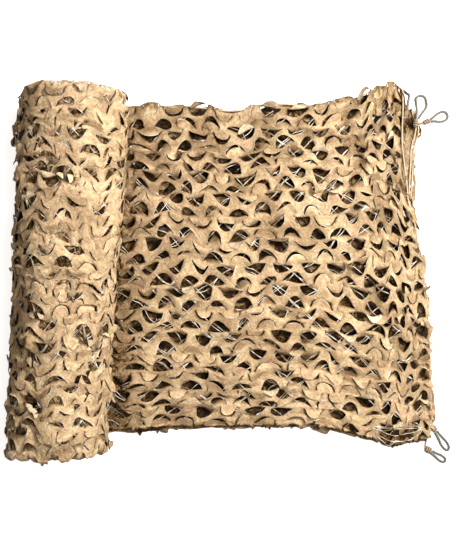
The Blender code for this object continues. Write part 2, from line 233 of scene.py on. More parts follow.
def times(tree, first, second):
    return maths(tree, "MULTIPLY", first, second)


def ranged(tree, value, low=0.0, high=1.0, to_low=0.0, to_high=1.0):
    """The value spread so that low to high becomes to_low to to_high, and held at both."""
    return node(tree, "ShaderNodeMapRange", i0=value, i1=low, i2=high, i3=to_low, i4=to_high).outputs[0]


def kept_on_points(tree, geometry, name, value):
    return node(
        tree, "GeometryNodeStoreNamedAttribute", {"data_type": "FLOAT", "domain": "POINT"},
        Geometry=geometry, Name=name, Value=value,
    ).outputs[0]


def group_with(name, kind, inputs, outputs):
    """A node group with named inputs, each with its first value, and named outputs."""
    tree = bpy.data.node_groups.new(name, kind)
    for title, socket, value in inputs:
        made = tree.interface.new_socket(title, in_out="INPUT", socket_type=socket)
        if value is not None:
            made.default_value = value
    for title, socket in outputs:
        tree.interface.new_socket(title, in_out="OUTPUT", socket_type=socket)
    return tree, tree.nodes.new("NodeGroupInput").outputs, tree.nodes.new("NodeGroupOutput").inputs


def by_nodes(name, mesh, tree, **values):
    """The mesh put through a tree of geometry nodes, as a plain mesh in an object of its own."""
    made = bpy.data.objects.new(name, mesh)
    scene.collection.objects.link(made)
    modifier = made.modifiers.new("nodes", "NODES")
    modifier.node_group = tree
    for socket in tree.interface.items_tree:
        key = socket.name.replace(" ", "_")
        if socket.in_out == "INPUT" and key in values:
            modifier[socket.identifier] = values[key]
    bpy.context.view_layer.update()
    graph = bpy.context.evaluated_depsgraph_get()
    plain = bpy.data.meshes.new_from_object(made.evaluated_get(graph))
    made.modifiers.remove(modifier)
    made.data = plain
    plain.name = name
    return made


def cord_tree():
    """Sweeps a laid cord, its strands standing out a little and twisting, along every line of a mesh."""
    tree, given, out = group_with(
        "laid cord",
        "GeometryNodeTree",
        (
            ("Geometry", "NodeSocketGeometry", None), ("Radius", "NodeSocketFloat", 0.003),
            ("Strands", "NodeSocketInt", 3), ("Relief", "NodeSocketFloat", 0.1),
            ("Lay", "NodeSocketFloat", 0.02), ("Step", "NodeSocketFloat", 0.004),
            ("Sides", "NodeSocketInt", 12), ("Material", "NodeSocketMaterial", None),
        ),
        (("Geometry", "NodeSocketGeometry"),),
    )
    line = node(tree, "GeometryNodeMeshToCurve", i0=given["Geometry"]).outputs[0]
    line = node(
        tree, "GeometryNodeResampleCurve", {"mode": "LENGTH"}, Curve=line, Length=given["Step"]
    ).outputs[0]
    gone = node(tree, "GeometryNodeSplineParameter").outputs["Length"]
    tilt = times(tree, maths(tree, "DIVIDE", gone, given["Lay"]), 2 * math.pi)
    line = node(tree, "GeometryNodeSetCurveTilt", Curve=line, Tilt=tilt).outputs[0]
    line = kept_on_points(tree, line, "along", gone)
    ring = node(
        tree, "GeometryNodeCurvePrimitiveCircle", Resolution=given["Sides"], Radius=given["Radius"]
    ).outputs[0]
    place = node(tree, "GeometryNodeInputPosition").outputs[0]
    apart = node(tree, "ShaderNodeSeparateXYZ", i0=place).outputs
    angle = maths(tree, "ARCTAN2", apart[1], apart[0])
    lobe = maths(tree, "COSINE", times(tree, angle, given["Strands"]))
    share = times(tree, minus(tree, lobe, 1.0), given["Relief"])
    offset = node(tree, "ShaderNodeVectorMath", {"operation": "SCALE"}, i0=place, Scale=share).outputs[0]
    ring = node(tree, "GeometryNodeSetPosition", Geometry=ring, Offset=offset).outputs[0]
    ring = kept_on_points(tree, ring, "round", maths(tree, "DIVIDE", angle, 2 * math.pi))
    swept = node(tree, "GeometryNodeCurveToMesh", i0=line, i1=ring)
    swept.inputs["Fill Caps"].default_value = True
    whole = node(tree, "GeometryNodeRealizeInstances", i0=swept.outputs[0]).outputs[0]
    rounded = node(tree, "GeometryNodeSetShadeSmooth", i0=whole).outputs[0]
    painted = node(tree, "GeometryNodeSetMaterial", i0=rounded, Material=given["Material"])
    link(tree, painted.outputs[0], out[0])
    return tree


COARSE_FIBRE = 0.21                   # the coarse noise's scale, as a share of the fine one's


def fibre_group():
    """Fine fibre: a mask of small light and dark flecks, and a height for the bump."""
    tree, given, out = group_with(
        "fibre",
        "ShaderNodeTree",
        (("Vector", "NodeSocketVector", None), ("Size", "NodeSocketFloat", 0.001)),
        (("Fleck", "NodeSocketFloat"), ("Height", "NodeSocketFloat")),
    )
    place = given["Vector"]
    scale = maths(tree, "DIVIDE", 1.0, given["Size"])
    fine = node(tree, "ShaderNodeTexNoise", Vector=place, Scale=scale, Detail=2.0, Roughness=0.6).outputs[0]
    coarse_scale = times(tree, scale, COARSE_FIBRE)
    coarse = node(tree, "ShaderNodeTexNoise", Vector=place, Scale=coarse_scale, Detail=3.0).outputs[0]
    link(tree, times(tree, plus(tree, fine, coarse), 0.5), out["Fleck"])
    link(tree, fine, out["Height"])
    return tree


FIBRE = fibre_group()


def fibre_on(tree, place, size):
    """The fibre's fleck and its height."""
    made = node(tree, "ShaderNodeGroup", {"node_tree": FIBRE}, Vector=place, Size=size)
    return made.outputs["Fleck"], made.outputs["Height"]


def new_material(name):
    made = bpy.data.materials.new(name)
    made.use_nodes = True
    tree = made.node_tree
    return made, tree, tree.nodes["Principled BSDF"]


def attribute(tree, name):
    return node(tree, "ShaderNodeAttribute", {"attribute_name": name}).outputs["Fac"]


def between(tree, share, low, high):
    """A colour on the way from low to high; each is a colour or an output."""
    made = node(tree, "ShaderNodeMix", {"data_type": "RGBA"})
    for socket, value in zip((made.inputs[0], made.inputs[6], made.inputs[7]), (share, low, high)):
        if isinstance(value, bpy.types.NodeSocket):
            link(tree, value, socket)
        else:
            socket.default_value = value if isinstance(value, float) else (*value, 1)
    return made.outputs[2]


def bumped(tree, shader, height, strength, depth):
    bump = node(tree, "ShaderNodeBump", Strength=strength, Distance=depth, Height=height)
    link(tree, bump.outputs[0], shader.inputs["Normal"])


BRAID_STRANDS = 4.0


def cord_material(name, dark, light, braid):
    """Laid or braided cord: light crowns, grooves where the strands meet darkened with painted shade, and
    loose fibre.
    """
    made, tree, shader = new_material(name)
    laid = maths(tree, "DIVIDE", attribute(tree, "along"), braid)
    around = times(tree, attribute(tree, "round"), BRAID_STRANDS)
    one, two = (
        maths(tree, "SINE", times(tree, maths(tree, way, laid, around), 2 * math.pi))
        for way in ("ADD", "SUBTRACT")
    )
    crown = ranged(tree, maths(tree, "MAXIMUM", one, two), -1.0, 1.0)
    fleck, fibre = fibre_on(tree, node(tree, "ShaderNodeTexCoord").outputs["Object"], 0.0009)
    mask = plus(tree, times(tree, crown, 0.6), times(tree, fleck, 0.5))
    # Towards the grooves the colour goes to the dark one: painted shade.
    link(tree, between(tree, mask, dark, light), shader.inputs["Base Color"])
    bumped(tree, shader, plus(tree, crown, times(tree, fibre, 0.4)), 0.7, 0.0006)
    shader.inputs["Roughness"].default_value = 0.72
    return made


def polylines(name, lines):
    """A mesh of bare edges along each line of points."""
    points, edges = [], []
    for line in lines:
        edges += [(len(points) + i, len(points) + i + 1) for i in range(len(line) - 1)]
        points += [tuple(p) for p in line]
    mesh = bpy.data.meshes.new(name)
    mesh.from_pydata(points, edges, [])
    return mesh


CORD_TREE = cord_tree()
# Each cord's painted groove shade, its crown colour, and the length of its lay.
LOOP_CORD = cord_material("loop_cord", (0.030, 0.025, 0.021), (0.20, 0.175, 0.155), 0.009)
KNOT_CORD = cord_material("knot_cord", (0.070, 0.048, 0.033), (0.40, 0.29, 0.21), 0.009)
RIM_CORD = cord_material("rim_cord", (0.26, 0.19, 0.12), (0.62, 0.49, 0.33), 0.008)


def smooth(route, count):
    """So many evenly spaced points on a curve through the route's own points."""
    fine = []
    padded = [2 * route[0] - route[1], *route, 2 * route[-1] - route[-2]]
    for a, b, c, d in zip(padded, padded[1:], padded[2:], padded[3:]):
        for i in range(SMOOTH_STEPS):
            t = i / SMOOTH_STEPS
            bend, twist = 2 * a - 5 * b + 4 * c - d, 3 * b - a - 3 * c + d
            fine.append(0.5 * (2 * b + (c - a) * t + bend * t * t + twist * t**3))
    fine.append(route[-1])
    gone = np.concatenate([[0], np.cumsum([(q - p).length for p, q in zip(fine, fine[1:])])])
    fine = np.array([tuple(p) for p in fine])
    even = np.linspace(0, gone[-1], count)
    return [Vector(p) for p in np.stack([np.interp(even, gone, fine[:, k]) for k in range(3)], axis=1)]


def rim_route():
    """The rim cord's centre line, round the lower selvage, the free end over every fold, and the upper
    selvage, with its stretch along the free end and how far across the flat net each point of that lies."""
    end_stops = []
    for layer in range(LAYERS):
        end_stops += list(layer * CHART_STEP + np.linspace(0, CHART_WIDTH, RIM_END_POINTS))
        if layer < LAYERS - 1:
            fold = np.linspace(0, CHART_FOLD, RIM_FOLD_POINTS)[1:-1]
            end_stops += list(layer * CHART_STEP + CHART_WIDTH + fold)
    selvage = np.linspace(RIM_START, CHART_LENGTH, RIM_SELVAGE_POINTS)[:-1]
    along = np.concatenate([selvage, np.full(len(end_stops), CHART_LENGTH), selvage[::-1]])
    across = np.concatenate([np.zeros(len(selvage)), end_stops, np.full(len(selvage), CHART_TOTAL)])
    edge = run_place(along, across)
    step = 0.002
    low, high = np.clip(across - step, 0, CHART_TOTAL), np.clip(across + step, 0, CHART_TOTAL)
    left, right = np.clip(along - step, 0, CHART_LENGTH), np.clip(along + step, 0, CHART_LENGTH)
    lengthways = run_place(right, across) - run_place(left, across)
    up = np.cross(lengthways, run_place(along, high) - run_place(along, low))
    up /= np.linalg.norm(up, axis=1)[:, None]
    # The cord lies beside the edge, and at a corner as far out as from both of its sides.
    steps = np.diff(edge, axis=0)
    first = np.cross(np.concatenate([steps[:1], steps]), up)
    second = np.cross(np.concatenate([steps, steps[-1:]]), up)
    first /= np.linalg.norm(first, axis=1)[:, None]
    second /= np.linalg.norm(second, axis=1)[:, None]
    sharpest = 0.7
    out = (first + second) / np.maximum(1 + (first * second).sum(axis=1), sharpest)[:, None]
    centre = edge + out * CORD_OUT
    centre[:, 2] = np.maximum(centre[:, 2], CORD_R + GAP)
    at_end = slice(len(selvage), len(selvage) + len(end_stops))
    return centre, centre[at_end], np.array(end_stops)


rim_line, end_line, end_stops = rim_route()
rim_cord = by_nodes(
    "rim_cord_laid", polylines("rim_line", [rim_line]), CORD_TREE,
    Radius=CORD_R, Strands=3, Relief=0.09, Lay=0.016, Step=0.004, Sides=9, Material=RIM_CORD,
)
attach(rim_cord, "root")
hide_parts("rim_cord")


def tie_knot(name, layer, knot, knot_r, ahead, aside):
    """The knot: its neck from the rim cord, and the wraps round the loop's two strands."""
    first, last = layer * CHART_STEP - 0.0001, (layer + 1) * CHART_STEP + 0.0001
    near = end_line[(end_stops >= first) & (end_stops <= last)]
    root = Vector(near[np.argmin(np.linalg.norm(near - np.array(knot), axis=1))])
    neck = (knot - root).normalized()
    rng = np.random.default_rng(len(name) * 7 + layer)
    wraps = []
    for i in range(int(KNOT_WRAPS * WRAP_POINTS) + 1):
        share = i / (KNOT_WRAPS * WRAP_POINTS)
        angle = 2 * math.pi * KNOT_WRAPS * share + 0.6 * layer
        fuller = math.sin(math.pi * min(1, share * 1.1)) ** 0.5
        crown = (knot_r - WRAP_R) * (KNOT_WAIST + (1 - KNOT_WAIST) * fuller)
        crown *= 1 + WRAP_UNEVEN * math.sin(3.1 * angle + layer)
        gone = KNOT_END + (KNOT_LENGTH - 2 * KNOT_END) * share + rng.uniform(-WRAP_SLIP, WRAP_SLIP)
        around = aside * crown * math.cos(angle) + Vector((0, 0, crown * math.sin(angle)))
        wraps.append(knot + ahead * gone + around)
    core = [knot + ahead * KNOT_LENGTH * share + aside * STRAND_IN_KNOT for share in (0, 0.5, 1)]
    other = [p - aside * 2 * STRAND_IN_KNOT for p in core]
    neck_line = smooth([root + neck * (CORD_R * 0.6), root.lerp(knot, 0.6), knot, knot + ahead * 0.006], 8)
    piece = by_nodes(
        name + "_knot_wraps", polylines(name, [wraps, core, other, neck_line]), CORD_TREE,
        Radius=WRAP_R, Strands=3, Relief=0.10, Lay=0.020, Step=0.0020, Sides=10, Material=KNOT_CORD,
    )
    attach(piece, "root")
    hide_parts(name + "_knot")
    return piece


def build_loop(name, layer, x, y, z, knot_r, heading, length, width, hold, end_z):
    """A knot and the loop that comes out of it, goes round its tip and comes back."""
    turn = math.radians(heading)
    ahead, knot = Vector((math.cos(turn), math.sin(turn), 0)), Vector((x, y, z))
    aside = Vector((-ahead.y, ahead.x, 0))
    piece = tie_knot(name, layer, knot, knot_r, ahead, aside)
    side = [(LOOP_START, STRAND), (LOOP_NECK, STRAND)]
    side += [(a * length, b * width / 2) for a, b in LOOP_FORM]
    route = [*side, (length, 0.0), *((a, -b) for a, b in reversed(side))]
    start = knot + ahead * KNOT_LENGTH
    places = [start + ahead * a + aside * b for a, b in route]
    for place, (along, _) in zip(places, route):
        fallen = float(ease(min(1.0, max(0.0, along - hold) / (length - hold) * LOOP_FALL)))
        place.z = z + (end_z - z) * fallen
    path = smooth(places, 36)
    loop = by_nodes(
        name + "_loop_cord", polylines(name, [path]), CORD_TREE,
        Radius=TIE_CROWN_R, Strands=3, Relief=0.09, Lay=0.022, Step=0.0026, Sides=12, Material=LOOP_CORD,
    )
    for vertex in loop.data.vertices:
        vertex.co.z = max(vertex.co.z, GAP)
    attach(loop, "root")
    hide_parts(name + "_loop")


for row in LOOPS:
    build_loop(*row)


# ---------------------------------------------------------------- the incised cloth
# Sand-coloured coated cloth, cut through in rows of half-moons, arched one way and then the other.  Each
# stays on along its straight side, and hangs, curls or turns over as a leaf when the net is drawn out.
CUT_PITCH = CHART_LENGTH / 14
CUT_HALF, CUT_FORM = 0.0252, (2.3, 0.85)
LEAF_HALF, LEAF_HEIGHT, LEAF_FORM = 0.0238, 0.0240, (2.2, 0.80)
HALF_BAND, BAND_ABOVE = 0.0040, 0.0014
PITCH_STEPS, ROW_STEPS, CUT_STEPS, LEAF_STEPS, LEAF_ROWS = 6, 3, 10, 8, 4


def half_moon(across, form):
    """How high a half-moon stands at a place from -1 to 1 across it, as a share of its height."""
    return (1 - abs(across) ** form[0]) ** form[1]


def cut_cell(row_height):
    """One cut-out with its leaf and the cloth round it, lying flat: the piece that the net repeats."""
    chord = -row_height / 2 + HALF_BAND
    cut_height = row_height - HALF_BAND - BAND_ABOVE
    left, low = -CUT_PITCH / 2, -row_height / 2
    border = [Vector((left + CUT_PITCH * i / PITCH_STEPS, low)) for i in range(PITCH_STEPS)]
    border += [Vector((-left, low + row_height * i / ROW_STEPS)) for i in range(ROW_STEPS)]
    border += [-p for p in border]
    arc = []
    for i in range(CUT_STEPS + 1):
        x = math.cos(math.pi * i / CUT_STEPS)
        arc.append(Vector((CUT_HALF * x, chord + cut_height * half_moon(x, CUT_FORM))))
    hinge = [Vector((LEAF_HALF * (-1 + 2 * i / LEAF_STEPS), chord)) for i in range(LEAF_STEPS + 1)]
    hole = arc + hinge
    edges = []
    for first, count in ((0, len(border)), (len(border), len(hole))):
        edges += [(first + i, first + (i + 1) % count) for i in range(count)]
    flat, _, faces, *_ = delaunay_2d_cdt(border + hole, edges, [], 1, 1e-6)

    def inside(p):
        found = False
        for a, b in zip(hole, hole[1:] + hole[:1]):
            if (a.y > p.y) != (b.y > p.y) and p.x < (b.x - a.x) * (p.y - a.y) / (b.y - a.y) + a.x:
                found = not found
        return found

    kept = [f for f in faces if not inside(sum((flat[i] for i in f), Vector((0, 0))) / 3)]
    verts = [(p.x, p.y, 0) for p in flat]
    rim = [1.0 if any((p - q).length < 1e-6 for q in arc) else 0.0 for p in flat]
    drop, aside, leaf, root_of = ([0.0] * len(verts) for _ in range(4))
    columns = []
    for i, root in enumerate(hinge):
        index = min(range(len(flat)), key=lambda k: (flat[k] - root).length)
        column = [index]
        root_of[index] = 1 - (root.x / LEAF_HALF) ** 2
        reach = LEAF_HEIGHT * half_moon(-1 + 2 * i / LEAF_STEPS, LEAF_FORM)
        if 0 < i < LEAF_STEPS:
            for j in range(1, LEAF_ROWS + 1):
                column.append(len(verts))
                verts.append((root.x, root.y + reach * j / LEAF_ROWS, 0))
                rim.append(1.0 if j == LEAF_ROWS else 0.0)
                drop.append(reach * j / LEAF_ROWS)
                aside.append(root.x / LEAF_HALF)
                leaf.append(1.0)
                root_of.append(0.0)
        columns.append(column)
    for one, two in zip(columns, columns[1:]):
        for j in range(LEAF_ROWS):
            corners = [one[min(j, len(one) - 1)], two[min(j, len(two) - 1)]]
            corners += [two[min(j + 1, len(two) - 1)], one[min(j + 1, len(one) - 1)]]
            kept.append(list(dict.fromkeys(corners)))
    mesh = bpy.data.meshes.new("cut_cell")
    mesh.from_pydata(verts, [], kept)
    for name, values in (("edge", rim), ("drop", drop), ("aside", aside), ("leaf", leaf), ("root", root_of)):
        mesh.attributes.new(name, "FLOAT", "POINT").data.foreach_set("value", values)
    return mesh


def net_tree():
    """Lays the cut cell out in staggered rows, every other row turned round, joined into one cloth.  Past the
    whole columns only the cells near the folds are laid, as in the inner turns of a roll."""
    tree, given, out = group_with(
        "incised net",
        "GeometryNodeTree",
        (
            ("Cell", "NodeSocketGeometry", None), ("Columns", "NodeSocketInt", 4),
            ("Rows", "NodeSocketInt", 4), ("Whole columns", "NodeSocketInt", 4),
            ("Pitch", "NodeSocketFloat", 0.075), ("Row height", "NodeSocketFloat", 0.035),
            ("Layer step", "NodeSocketFloat", 1.0), ("End depth", "NodeSocketFloat", 0.07),
            ("Material", "NodeSocketMaterial", None),
        ),
        (("Geometry", "NodeSocketGeometry"),),
    )
    pitch, height = given["Pitch"], given["Row height"]
    more_columns, more_rows = (minus(tree, given[n], 1.0) for n in ("Columns", "Rows"))
    grid = node(
        tree, "GeometryNodeMeshGrid", i0=times(tree, more_columns, pitch), i1=times(tree, more_rows, height),
        i2=given["Columns"], i3=given["Rows"],
    ).outputs[0]
    apart = node(tree, "ShaderNodeSeparateXYZ", i0=node(tree, "GeometryNodeInputPosition").outputs[0]).outputs
    column, row = (
        maths(tree, "ROUND", plus(tree, maths(tree, "DIVIDE", way, step), times(tree, more, 0.5)))
        for way, step, more in ((apart[0], pitch, more_columns), (apart[1], height, more_rows))
    )
    turned = maths(tree, "MODULO", row, 2.0)
    shift = minus(tree, 0.5, times(tree, turned, 0.5))
    x = times(tree, plus(tree, column, shift), pitch)
    y = times(tree, plus(tree, row, 0.5), height)
    in_layer = maths(tree, "MODULO", y, given["Layer step"])
    depth = maths(tree, "MINIMUM", in_layer, minus(tree, given["Layer step"], in_layer))
    past_whole = maths(tree, "GREATER_THAN", column, minus(tree, given["Whole columns"], 0.5))
    inner = times(tree, past_whole, maths(tree, "GREATER_THAN", depth, given["End depth"]))
    past = maths(tree, "GREATER_THAN", x, times(tree, plus(tree, more_columns, 0.2), pitch))
    # The facts of each place are kept on its point before the points move.
    grid = kept_on_points(tree, grid, "gone", maths(tree, "MAXIMUM", inner, past))
    grid = kept_on_points(tree, grid, "angle", times(tree, turned, math.pi))
    place = node(tree, "ShaderNodeCombineXYZ", i0=x, i1=y).outputs[0]
    grid = node(tree, "GeometryNodeSetPosition", Geometry=grid, Position=place).outputs[0]
    gone, angle = (
        node(tree, "GeometryNodeInputNamedAttribute", {"data_type": "FLOAT"}, Name=name).outputs[0]
        for name in ("gone", "angle")
    )
    wanted = node(
        tree, "FunctionNodeCompare", {"data_type": "FLOAT", "operation": "LESS_THAN"}, i0=gone, i1=0.5
    ).outputs[0]
    euler = node(tree, "ShaderNodeCombineXYZ", i2=angle).outputs[0]
    spin = node(tree, "FunctionNodeEulerToRotation", i0=euler).outputs[0]
    laid = node(
        tree, "GeometryNodeInstanceOnPoints", Points=grid, Selection=wanted, Instance=given["Cell"],
        Rotation=spin,
    ).outputs[0]
    whole = node(tree, "GeometryNodeRealizeInstances", i0=laid).outputs[0]
    joined = node(tree, "GeometryNodeMergeByDistance", Geometry=whole, Distance=0.0003).outputs[0]
    rounded = node(tree, "GeometryNodeSetShadeSmooth", i0=joined).outputs[0]
    painted = node(tree, "GeometryNodeSetMaterial", i0=rounded, Material=given["Material"])
    link(tree, painted.outputs[0], out[0])
    return tree


# The coat's own colours; its bare cut edge, also a painted highlight, the back and worn cloth; and the
# painted shade of the pile, brown and then dark.
TAN, YELLOW, PINK = (0.57, 0.375, 0.20), (0.74, 0.575, 0.33), (0.78, 0.49, 0.335)
CUT_EDGE_AND_HIGHLIGHT, UNDERSIDE, WORN_BROWN = (0.95, 0.85, 0.66), (0.86, 0.70, 0.48), (0.37, 0.205, 0.075)
PILE_SHADE_BROWN, PILE_SHADE_DARK = (0.122, 0.060, 0.014), (0.014, 0.007, 0.003)


def clouds(tree, place, scale, low, high, to_low=0.0, to_high=1.0, **form):
    """Noise of this scale and form, spread by ranged()."""
    made = node(tree, "ShaderNodeTexNoise", Vector=place, Scale=scale, **form).outputs[0]
    return ranged(tree, made, low, high, to_low, to_high)


def scaled(tree, colour, share):
    return node(tree, "ShaderNodeVectorMath", {"operation": "SCALE"}, i0=colour, Scale=share).outputs[0]


def cloth_material(name):
    """Coated cloth: a fine weave under the coat, soft clouds of colour, pale cut edges that are partly a
    painted highlight, a cream back, and painted light and shade.
    """
    made, tree, shader = new_material(name)
    chart = node(tree, "ShaderNodeUVMap", {"uv_map": "chart"}).outputs[0]
    cloud = clouds(tree, chart, 48.0, 0.35, 0.65, Detail=3.0, Roughness=0.6)
    blotch = clouds(tree, chart, 90.0, 0.40, 0.70, Detail=3.0, Roughness=0.6)
    colour = between(tree, cloud, TAN, YELLOW)
    colour = between(tree, times(tree, blotch, attribute(tree, "tint")), colour, PINK)
    # The cut edges are pale, partly the bare edge's own colour and partly a painted highlight; where a leaf
    # laps over, the pale gives way.
    edge = maths(tree, "POWER", attribute(tree, "edge"), 4.0)
    lapped = attribute(tree, "lapped")
    bare = times(tree, edge, minus(tree, 0.95, lapped))
    colour = between(tree, bare, colour, CUT_EDGE_AND_HIGHLIGHT)
    below = node(tree, "ShaderNodeNewGeometry").outputs["Backfacing"]
    colour = between(tree, times(tree, below, 0.35), colour, UNDERSIDE)
    colour = between(tree, attribute(tree, "turned"), colour, UNDERSIDE)
    tone = attribute(tree, "tone")
    colour = between(tree, ranged(tree, tone, 0.0, 0.6, 0.50, 0.0), colour, WORN_BROWN)
    colour = scaled(tree, colour, ranged(tree, tone, to_low=0.70, to_high=1.17))
    # In the depth of the pile the cloth is broken up by the shadows of what lies over it.
    dapple = clouds(tree, chart, 75.0, 0.38, 0.62, -0.30, 0.34, Detail=3.0, Roughness=0.7, Distortion=0.8)
    shade = attribute(tree, "shade")
    shade = plus(tree, shade, times(tree, dapple, ranged(tree, shade, 0.15, 0.70)))
    # A lapped leaf casts a painted shadow on the cut's edge under it.
    shade = plus(tree, shade, times(tree, edge, lapped))
    # The painted shade of the pile: the cloth goes to brown, then to dark.
    colour = between(tree, ranged(tree, shade, 0.0, 0.6), colour, PILE_SHADE_BROWN)
    colour = between(tree, ranged(tree, shade, 0.6, 1.0), colour, PILE_SHADE_DARK)
    # The coat is worn and flecked, and its rumples are given painted light and shade.
    fleck, fibre = fibre_on(tree, chart, 0.0011)
    worn = clouds(tree, chart, 210.0, 0.35, 0.65, 0.80, 1.12, Detail=3.0, Roughness=0.65)
    rumple_shading = clouds(tree, chart, 100.0, 0.36, 0.62, 0.80, 1.14, Detail=2.0, Roughness=0.5, Distortion=1.2)
    flecked = times(tree, times(tree, ranged(tree, fleck, 0.3, 0.7, 0.90, 1.08), worn), rumple_shading)
    link(tree, scaled(tree, colour, flecked), shader.inputs["Base Color"])
    link(tree, ranged(tree, fleck, 0.3, 0.7, 0.62, 0.80), shader.inputs["Roughness"])
    shader.inputs["Specular IOR Level"].default_value = 0.15
    # Creases stand out most, then the threads of the weave, then the fibre.
    crease = node(
        tree, "ShaderNodeTexNoise", Vector=chart, Scale=70.0, Detail=5.0, Roughness=0.68, Distortion=0.4
    ).outputs[0]
    weave = []
    for turn in (0.0, math.pi / 2):
        drawn_way = node(tree, "ShaderNodeMapping", Vector=chart, Rotation=(0, 0, turn)).outputs[0]
        thread = node(tree, "ShaderNodeTexWave", Vector=drawn_way, Scale=160.0, Distortion=0.6)
        weave.append(thread.outputs["Fac"])
    threads = times(tree, plus(tree, *weave), 0.12)
    height = plus(tree, times(tree, crease, 3.0), plus(tree, threads, times(tree, fibre, 0.2)))
    bumped(tree, shader, height, 1.0, 0.0030)
    return made


NET_TREE = net_tree()
CLOTH_SAND = cloth_material("cloth_sand")


def values_of(mesh, name):
    found = np.zeros(len(mesh.vertices))
    mesh.attributes[name].data.foreach_get("value", found)
    return found


def places_of(mesh):
    found = np.zeros(len(mesh.vertices) * 3)
    mesh.vertices.foreach_get("co", found)
    return found.reshape(-1, 3)


DRIFT_TABLE, DRIFT_FROM = 211, (37.3, 11.7)


def drift(u, v, size, seed):
    """Smooth random values from -1 to 1 that change over about this size."""
    grid = np.random.default_rng(seed).uniform(-1, 1, (DRIFT_TABLE, DRIFT_TABLE))
    x, y = u / size + DRIFT_FROM[0], v / size + DRIFT_FROM[1]
    i, j = np.floor(x).astype(int), np.floor(y).astype(int)
    a, b = ease(x - i), ease(y - j)
    near, far = (
        grid[i % DRIFT_TABLE, k % DRIFT_TABLE] * (1 - a) + grid[(i + 1) % DRIFT_TABLE, k % DRIFT_TABLE] * a
        for k in (j, j + 1)
    )
    return near * (1 - b) + far * b


# Long, middling and short waves: each one's share of the rise, its length and what its seed adds.
WAVES = ((1.00, 0.085, 0), (0.80, 0.036, 1), (0.45, 0.019, 6))


def waves(u, v, rise, seed):
    """The cloth's unevenness, which its backing mesh shares."""
    uneven = sum(share * drift(u, v, size, seed + more) for share, size, more in WAVES)
    return rise * uneven * ease(u / 0.02) * ease(np.minimum(v, CHART_TOTAL - v) / 0.02)


# How unevenly cut-outs are drawn: their turn in radians, their width and height as shares, and their place.
CUT_TURN, CUT_WIDE, CUT_HIGH, CUT_SHIFT = 0.30, (0.03, 0.11), 0.21, 0.0038
# How far a cut's edge stands up or down, and leans from side to side.
EDGE_FLARE, EDGE_LEAN = (-0.0004, 0.0040), 0.0036
# How much lower a cut-out is under a lapped leaf; at the upper corner, how high it is and how its leaf hangs.
CLOSED_LOWER, CORNER_HIGH, CORNER_HANG = 0.26, -0.32, 0.15
# A leaf's twist in degrees, its swing to one side as a share of its reach, and the depth of its cup.
LEAF_TWIST, LEAF_SWING, LEAF_CUP = 42, 0.38, 0.0052
# In the pile and at a tight fold leaves hang by these shares of what they would.  Then how near a fold they
# are tight, and how near they may stand loose.
PILE_HANG, FOLD_HANG, FOLD_TIGHT, FOLD_LOOSE = 0.05, 0.18, 0.026, 0.022
# The pull on a cut-out fades over so far round it.  The cloth also wanders: by how much, over how long a way,
# and what its seed adds.
PULL_REACH = 0.0165
WANDER_U, WANDER_V = ((0.007, 0.12, 1), (0.004, 0.055, 2)), ((0.008, 0.11, 3), (0.005, 0.050, 4))


